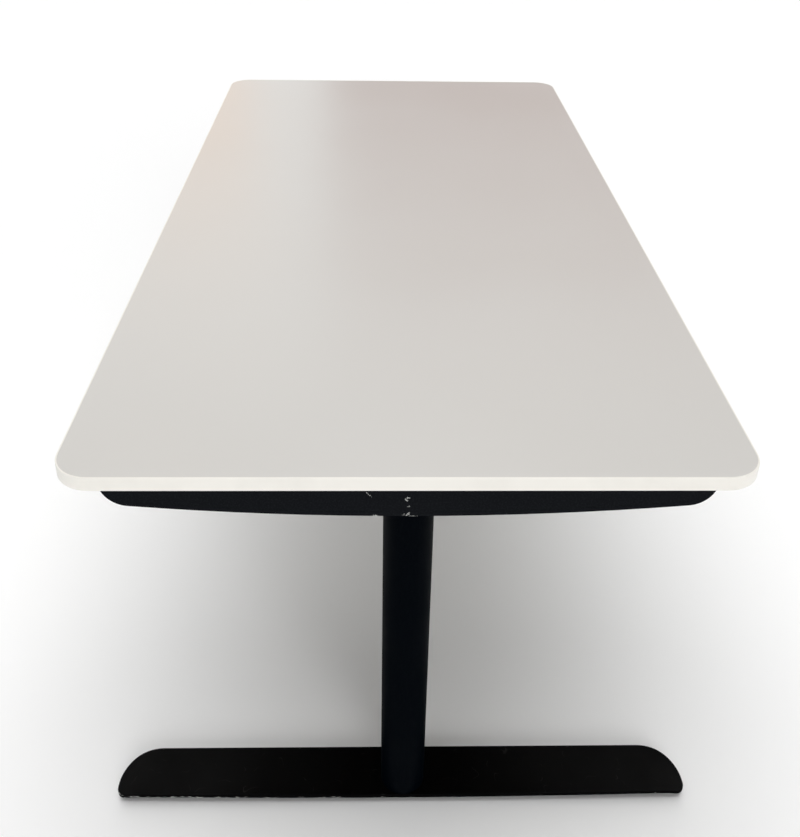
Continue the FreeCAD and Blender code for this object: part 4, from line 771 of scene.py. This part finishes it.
# Where they are, in mm: x and y off the middle of their piece or column, sheet the steel under
# a head, seat the head's height in its piece, below how far a bolt is under the board
screwSpots = {
    "arm": {"y": (-300, -150, 150, 300), "sheet": 2.5},
    "rail": {"x": (-480, 0, 480), "y": 170, "sheet": 2},
    "case": {"x": 148, "y": 36, "sheet": 2.5},
    "handset": {"x": 38, "seat": 2.5},
    "foot": {"x": 24, "y": 15, "seat": 15.3},
    "plate": {"x": 26, "y": 52},
    "bolt": {"y": 24, "below": 18, "sheet": 3},
}


def driveRadius(look, angle):  # outline of a recess, seen along the screw
    size = look["driveSize"] * mm
    if look["drive"] == "hex":
        side = math.pi / 3
        return size / 2 / math.cos((angle + side / 2) % side - side / 2)
    fold = angle % (math.pi / 2)
    fold = min(fold, math.pi / 2 - fold)
    if math.tan(fold) < look["armShare"]:
        return size / 2 / math.cos(fold)
    return look["armShare"] * size / 2 / math.sin(fold)


def topFace(mesh):
    return max(mesh.faces, key=lambda face: face.calc_center_median().z)


def rod(mesh, sides, low, high, bottom, top):  # heights and radii in mm
    middle = Matrix.Translation((0, 0, (low + high) / 2 * mm))
    bmesh.ops.create_cone(mesh, cap_ends=True, segments=sides, radius1=bottom * mm,
                          radius2=top * mm, depth=(high - low) * mm, matrix=middle)


def screwBlank(look):  # head upwards, its seat at z = 0
    mesh = bmesh.new()
    headRadius, shankRadius, end = look["head"] / 2, look["shank"] / 2, -look["length"]
    rod(mesh, turnedLook["headSides"], 0, look["headHeight"], headRadius, headRadius)
    bmesh.ops.bevel(mesh, geom=list(topFace(mesh).edges), offset=look["crown"] * mm, segments=3,
                    profile=0.5, affect="EDGES", material=-1)
    top = topFace(mesh)
    bmesh.ops.inset_region(mesh, faces=[top], thickness=turnedLook["rim"] * mm)
    for vert in top.verts:
        angle = math.atan2(vert.co.y, vert.co.x)
        radius = driveRadius(look, angle)
        vert.co = Vector((radius * math.cos(angle), radius * math.sin(angle), vert.co.z))
    pit = bmesh.ops.extrude_discrete_faces(mesh, faces=[top])["faces"]
    bmesh.ops.translate(mesh, verts=pit[0].verts, vec=(0, 0, -look["driveDepth"] * mm))
    rod(mesh, turnedLook["shankSides"], end, 0, look["tip"] * shankRadius, shankRadius)
    if look.get("nut"):
        rod(mesh, 6, end, end + look["nutHeight"], look["nut"] / 2, look["nut"] / 2)
    blank = bpy.data.meshes.new("screwBlank")
    mesh.to_mesh(blank)
    mesh.free()
    return blank


def screwSet(name, node, body, groups):  # groups of (look, places), places being matrices
    mesh = bmesh.new()
    for look, places in groups:
        blank = screwBlank(look)
        for place in places:
            start = len(mesh.verts)
            mesh.from_mesh(blank)
            mesh.verts.ensure_lookup_table()
            bmesh.ops.transform(mesh, matrix=place, verts=mesh.verts[start:])
        bpy.data.meshes.remove(blank)
    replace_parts(newPiece(name, mesh, zinc, body), node)


def headDown(x, y, z):
    return Matrix.Translation((x, y, z)) @ Matrix.Rotation(math.pi, 4, "X")


axisX = threadLook["axis"] * mm
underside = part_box("tabletop")[0].z

arm, rail = screwSpots["arm"], screwSpots["rail"]
armScrews = [headDown(sx * axisX, y * mm, underside - arm["sheet"] * mm)
             for sx in bothWays for y in arm["y"]]
railScrews = [headDown(x * mm, sy * rail["y"] * mm, underside - rail["sheet"] * mm)
              for sy in bothWays for x in rail["x"]]
screwSet("tabletopScrews", "tabletop_screws", "top", [(woodScrew, armScrews + railScrews)])

casing, handset = screwSpots["case"], screwSpots["handset"]
low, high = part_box("control_case")
caseX, caseZ = (low.x + high.x) / 2, underside - casing["sheet"] * mm
caseScrews = [headDown(caseX + sx * casing["x"] * mm, sy * casing["y"] * mm, caseZ)
              for sx in bothWays for sy in bothWays]
low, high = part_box("handset_housing")
middle, seatZ = (low + high) / 2, low.z + handset["seat"] * mm
handsetScrews = [headDown(middle.x + sx * handset["x"] * mm, middle.y, seatZ) for sx in bothWays]
screwSet("fittingScrews", "fitting_screws", "top",
         [(woodScrew, caseScrews), (handsetScrew, handsetScrews)])

foot = screwSpots["foot"]
footScrews = [headDown(sx * axisX + dx * foot["x"] * mm, dy * foot["y"] * mm, foot["seat"] * mm)
              for sx in bothWays for dx in bothWays for dy in bothWays]
screwSet("footScrews", "foot_screws", "base", [(machineScrew, footScrews)])

plate = screwSpots["plate"]
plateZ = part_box("left_mounting_plate")[0].z
plateScrews = [headDown(sx * axisX + dx * plate["x"] * mm, dy * plate["y"] * mm, plateZ)
               for sx in bothWays for dx in bothWays for dy in bothWays]
screwSet("mountingScrews", "mounting_screws", "top", [(plateScrew, plateScrews)])

bolt = screwSpots["bolt"]
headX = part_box("front_rail")[1].x - bolt["sheet"] * mm
boltZ = underside - bolt["below"] * mm
railBolts = [Matrix.Translation((sx * headX, (sy * rail["y"] + dy * bolt["y"]) * mm, boltZ))
             @ Matrix.Rotation(-sx * math.pi / 2, 4, "Y")
             for sx in bothWays for sy in bothWays for dy in bothWays]
screwSet("railBolts", "rail_bolts", "top", [(railBolt, railBolts)])
print("screws made")


# Arrows on the buttons

arrowLook = {
    "radius": 3.1,           # mm
    "squash": 0.85,
    "proud": 0.25,           # mm above the button
    "corner": 0.48,          # mm, rounding of its three corners
    "colour": "#E4E4E0",
    "rubbed": "#CFCFCB",
    "wear": 1.6,             # mm
}


def padPrint():
    # Pad-printed ink: white, slightly thinned where fingers rub it.
    look = arrowLook
    material, tree, shader, place = newMaterial("padPrintInk", {"IOR": 1.5, "Roughness": 0.5})
    thin = addNode(tree, "TexNoise", {},
                   {"Vector": place["Object"], "Scale": perMetre(look["wear"])})
    colour = addNode(tree, "Mix", {"data_type": "RGBA"},
                     {0: thin["Fac"], 6: linear(look["rubbed"]), 7: linear(look["colour"])})
    tree.links.new(colour[2], shader.inputs["Base Color"])
    return material


def buttonArrow(name, node, turn, ink):
    low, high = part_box(node)
    look = arrowLook
    mesh = bmesh.new()
    bmesh.ops.create_circle(mesh, cap_ends=True, segments=3, radius=look["radius"] * mm)
    made = bmesh.ops.extrude_face_region(mesh, geom=list(mesh.faces))["geom"]
    tops = [item for item in made if isinstance(item, bmesh.types.BMVert)]
    bmesh.ops.translate(mesh, verts=tops, vec=(0, 0, look["proud"] * mm))
    corners = [edge for edge in mesh.edges if abs(edge.verts[0].co.z - edge.verts[1].co.z) > tiny]
    bmesh.ops.bevel(mesh, geom=corners, offset=look["corner"] * mm, segments=4, profile=0.5,
                    affect="EDGES", material=-1)
    bmesh.ops.scale(mesh, vec=(1, look["squash"], 1), verts=mesh.verts)
    stand = Matrix.Translation(((low.x + high.x) / 2, low.y, (low.z + high.z) / 2))
    stand = stand @ Matrix.Rotation(turn, 4, "Y") @ Matrix.Rotation(math.pi / 2, 4, "X")
    bmesh.ops.transform(mesh, matrix=stand, verts=mesh.verts)
    newPiece(name, mesh, ink, node)


ink = padPrint()
buttonArrow("upArrow", "up_button", 0, ink)
buttonArrow("downArrow", "down_button", math.pi, ink)
print("buttons marked")


# Floor, background and light

stageLook = {
    "floor": "#FFFFFF",
    "halfFloor": 20,         # metres
    "ambient": 0.18,
}

# Angles in degrees; farEnd fills under the desk, nearEnd is low and lights the edge band
lampLook = {
    "overhead": {"strength": 1.85, "angle": 68, "tilt": (-2.5, 6, 0), "shine": True},
    "farEnd": {"strength": 0.8, "angle": 40, "tilt": (0, 60, 0), "shine": False},
    "nearEnd": {"strength": 1.4, "angle": 40, "tilt": (0, -74, 12), "shine": True},
}

# Reflector panels beyond the far end, which only the board's sheen shows; in metres, half
# being half the width and half the height
panelLook = {
    "shadedPanel": {"middle": (3.6, -1.86, 1.45), "half": (2.17, 1.45),
                    "colour": "#7C1E08", "strength": 1.0},
    "warmPanel": {"middle": (3.6, 2.0, 1.1), "half": (1.28, 1.1),
                  "colour": "#FFD8BA", "strength": 1.2},
    "upperPanel": {"middle": (3.6, 0.0, 4.3), "half": (3.4, 1.0),
                   "colour": "#8C8C8A", "strength": 1.0},
}


def whiteFloor():
    material, tree, shader, place = newMaterial("studioFloor", {
        "Base Color": linear(stageLook["floor"]), "Roughness": 0.9, "Specular IOR Level": 0.0})
    face = addNode(tree, "NewGeometry", {}, {})
    clear = addNode(tree, "BsdfTransparent", {}, {})  # so that views from below see the desk
    sided = addNode(tree, "MixShader", {},
                    {0: face["Backfacing"], 1: shader.outputs[0], 2: clear[0]})
    tree.links.new(sided[0], tree.nodes["Material Output"].inputs["Surface"])
    mesh = bmesh.new()
    bmesh.ops.create_grid(mesh, x_segments=1, y_segments=1, size=stageLook["halfFloor"])
    meshObject("floor", mesh, material)


def whiteWorld():
    world = bpy.data.worlds.new("studio")
    bpy.context.scene.world = world
    world.use_nodes = True
    tree = world.node_tree
    tree.nodes.clear()
    ray = addNode(tree, "LightPath", {}, {})
    seen = addNode(tree, "Math", {"operation": "MAXIMUM"},
                   {0: ray["Is Camera Ray"], 1: ray["Is Glossy Ray"]})
    seen = addNode(tree, "Math", {"operation": "MAXIMUM"},
                   {0: seen[0], 1: ray["Is Transmission Ray"]})
    light = addNode(tree, "Background", {},
                    {"Color": (1, 1, 1, 1), "Strength": stageLook["ambient"]})
    white = addNode(tree, "Background", {}, {"Color": (1, 1, 1, 1), "Strength": 1.0})
    both = addNode(tree, "MixShader", {}, {0: seen[0], 1: light[0], 2: white[0]})
    addNode(tree, "OutputWorld", {}, {"Surface": both[0]})


def sunLight(name, look):
    data = bpy.data.lights.new(name, "SUN")
    data.energy = look["strength"]
    data.angle = math.radians(look["angle"])
    lamp = bpy.data.objects.new(name, data)
    lamp.rotation_euler = [math.radians(turn) for turn in look["tilt"]]
    lamp.visible_glossy = look["shine"]
    bpy.context.scene.collection.objects.link(lamp)


def reflectorPanel(name, look):
    material, tree, shader, place = newMaterial(name, {
        "Base Color": (0, 0, 0, 1), "Roughness": 1.0, "Specular IOR Level": 0.0,
        "Emission Color": linear(look["colour"]), "Emission Strength": look["strength"]})
    mesh = bmesh.new()
    bmesh.ops.create_grid(mesh, x_segments=1, y_segments=1, size=1)
    bmesh.ops.scale(mesh, vec=(look["half"][1], look["half"][0], 1), verts=mesh.verts)
    stand = Matrix.Translation(look["middle"]) @ Matrix.Rotation(-math.pi / 2, 4, "Y")
    bmesh.ops.transform(mesh, matrix=stand, verts=mesh.verts)
    panel = meshObject(name, mesh, material)
    panel.visible_camera = False
    panel.visible_diffuse = False
    panel.visible_shadow = False


whiteFloor()
for name, look in panelLook.items():
    reflectorPanel(name, look)
whiteWorld()
for name, look in lampLook.items():
    sunLight(name, look)
print("stage lit")


# Camera at the photograph's viewpoint

cameraLook = {
    "place": (-1.6602, 0.0387, 1.2567),  # metres
    "aim": (0.2646, -0.0138, 0.1925),
    "roll": 0.96,            # degrees
    "lens": 42.3,            # mm
    "shift": -0.12,
}


def photoCamera():
    data = bpy.data.cameras.new("camera")
    data.lens = cameraLook["lens"]
    data.shift_y = cameraLook["shift"]
    data.clip_start = 0.01
    camera = bpy.data.objects.new("camera", data)
    place = Vector(cameraLook["place"])
    heading = (Vector(cameraLook["aim"]) - place).to_track_quat("-Z", "Y").to_matrix().to_4x4()
    roll = Matrix.Rotation(math.radians(cameraLook["roll"]), 4, "Z")
    camera.matrix_world = Matrix.Translation(place) @ heading @ roll
    bpy.context.scene.collection.objects.link(camera)
    bpy.context.scene.camera = camera


photoCamera()
bpy.context.scene.view_settings.view_transform = "Standard"
bpy.context.view_layer.update()
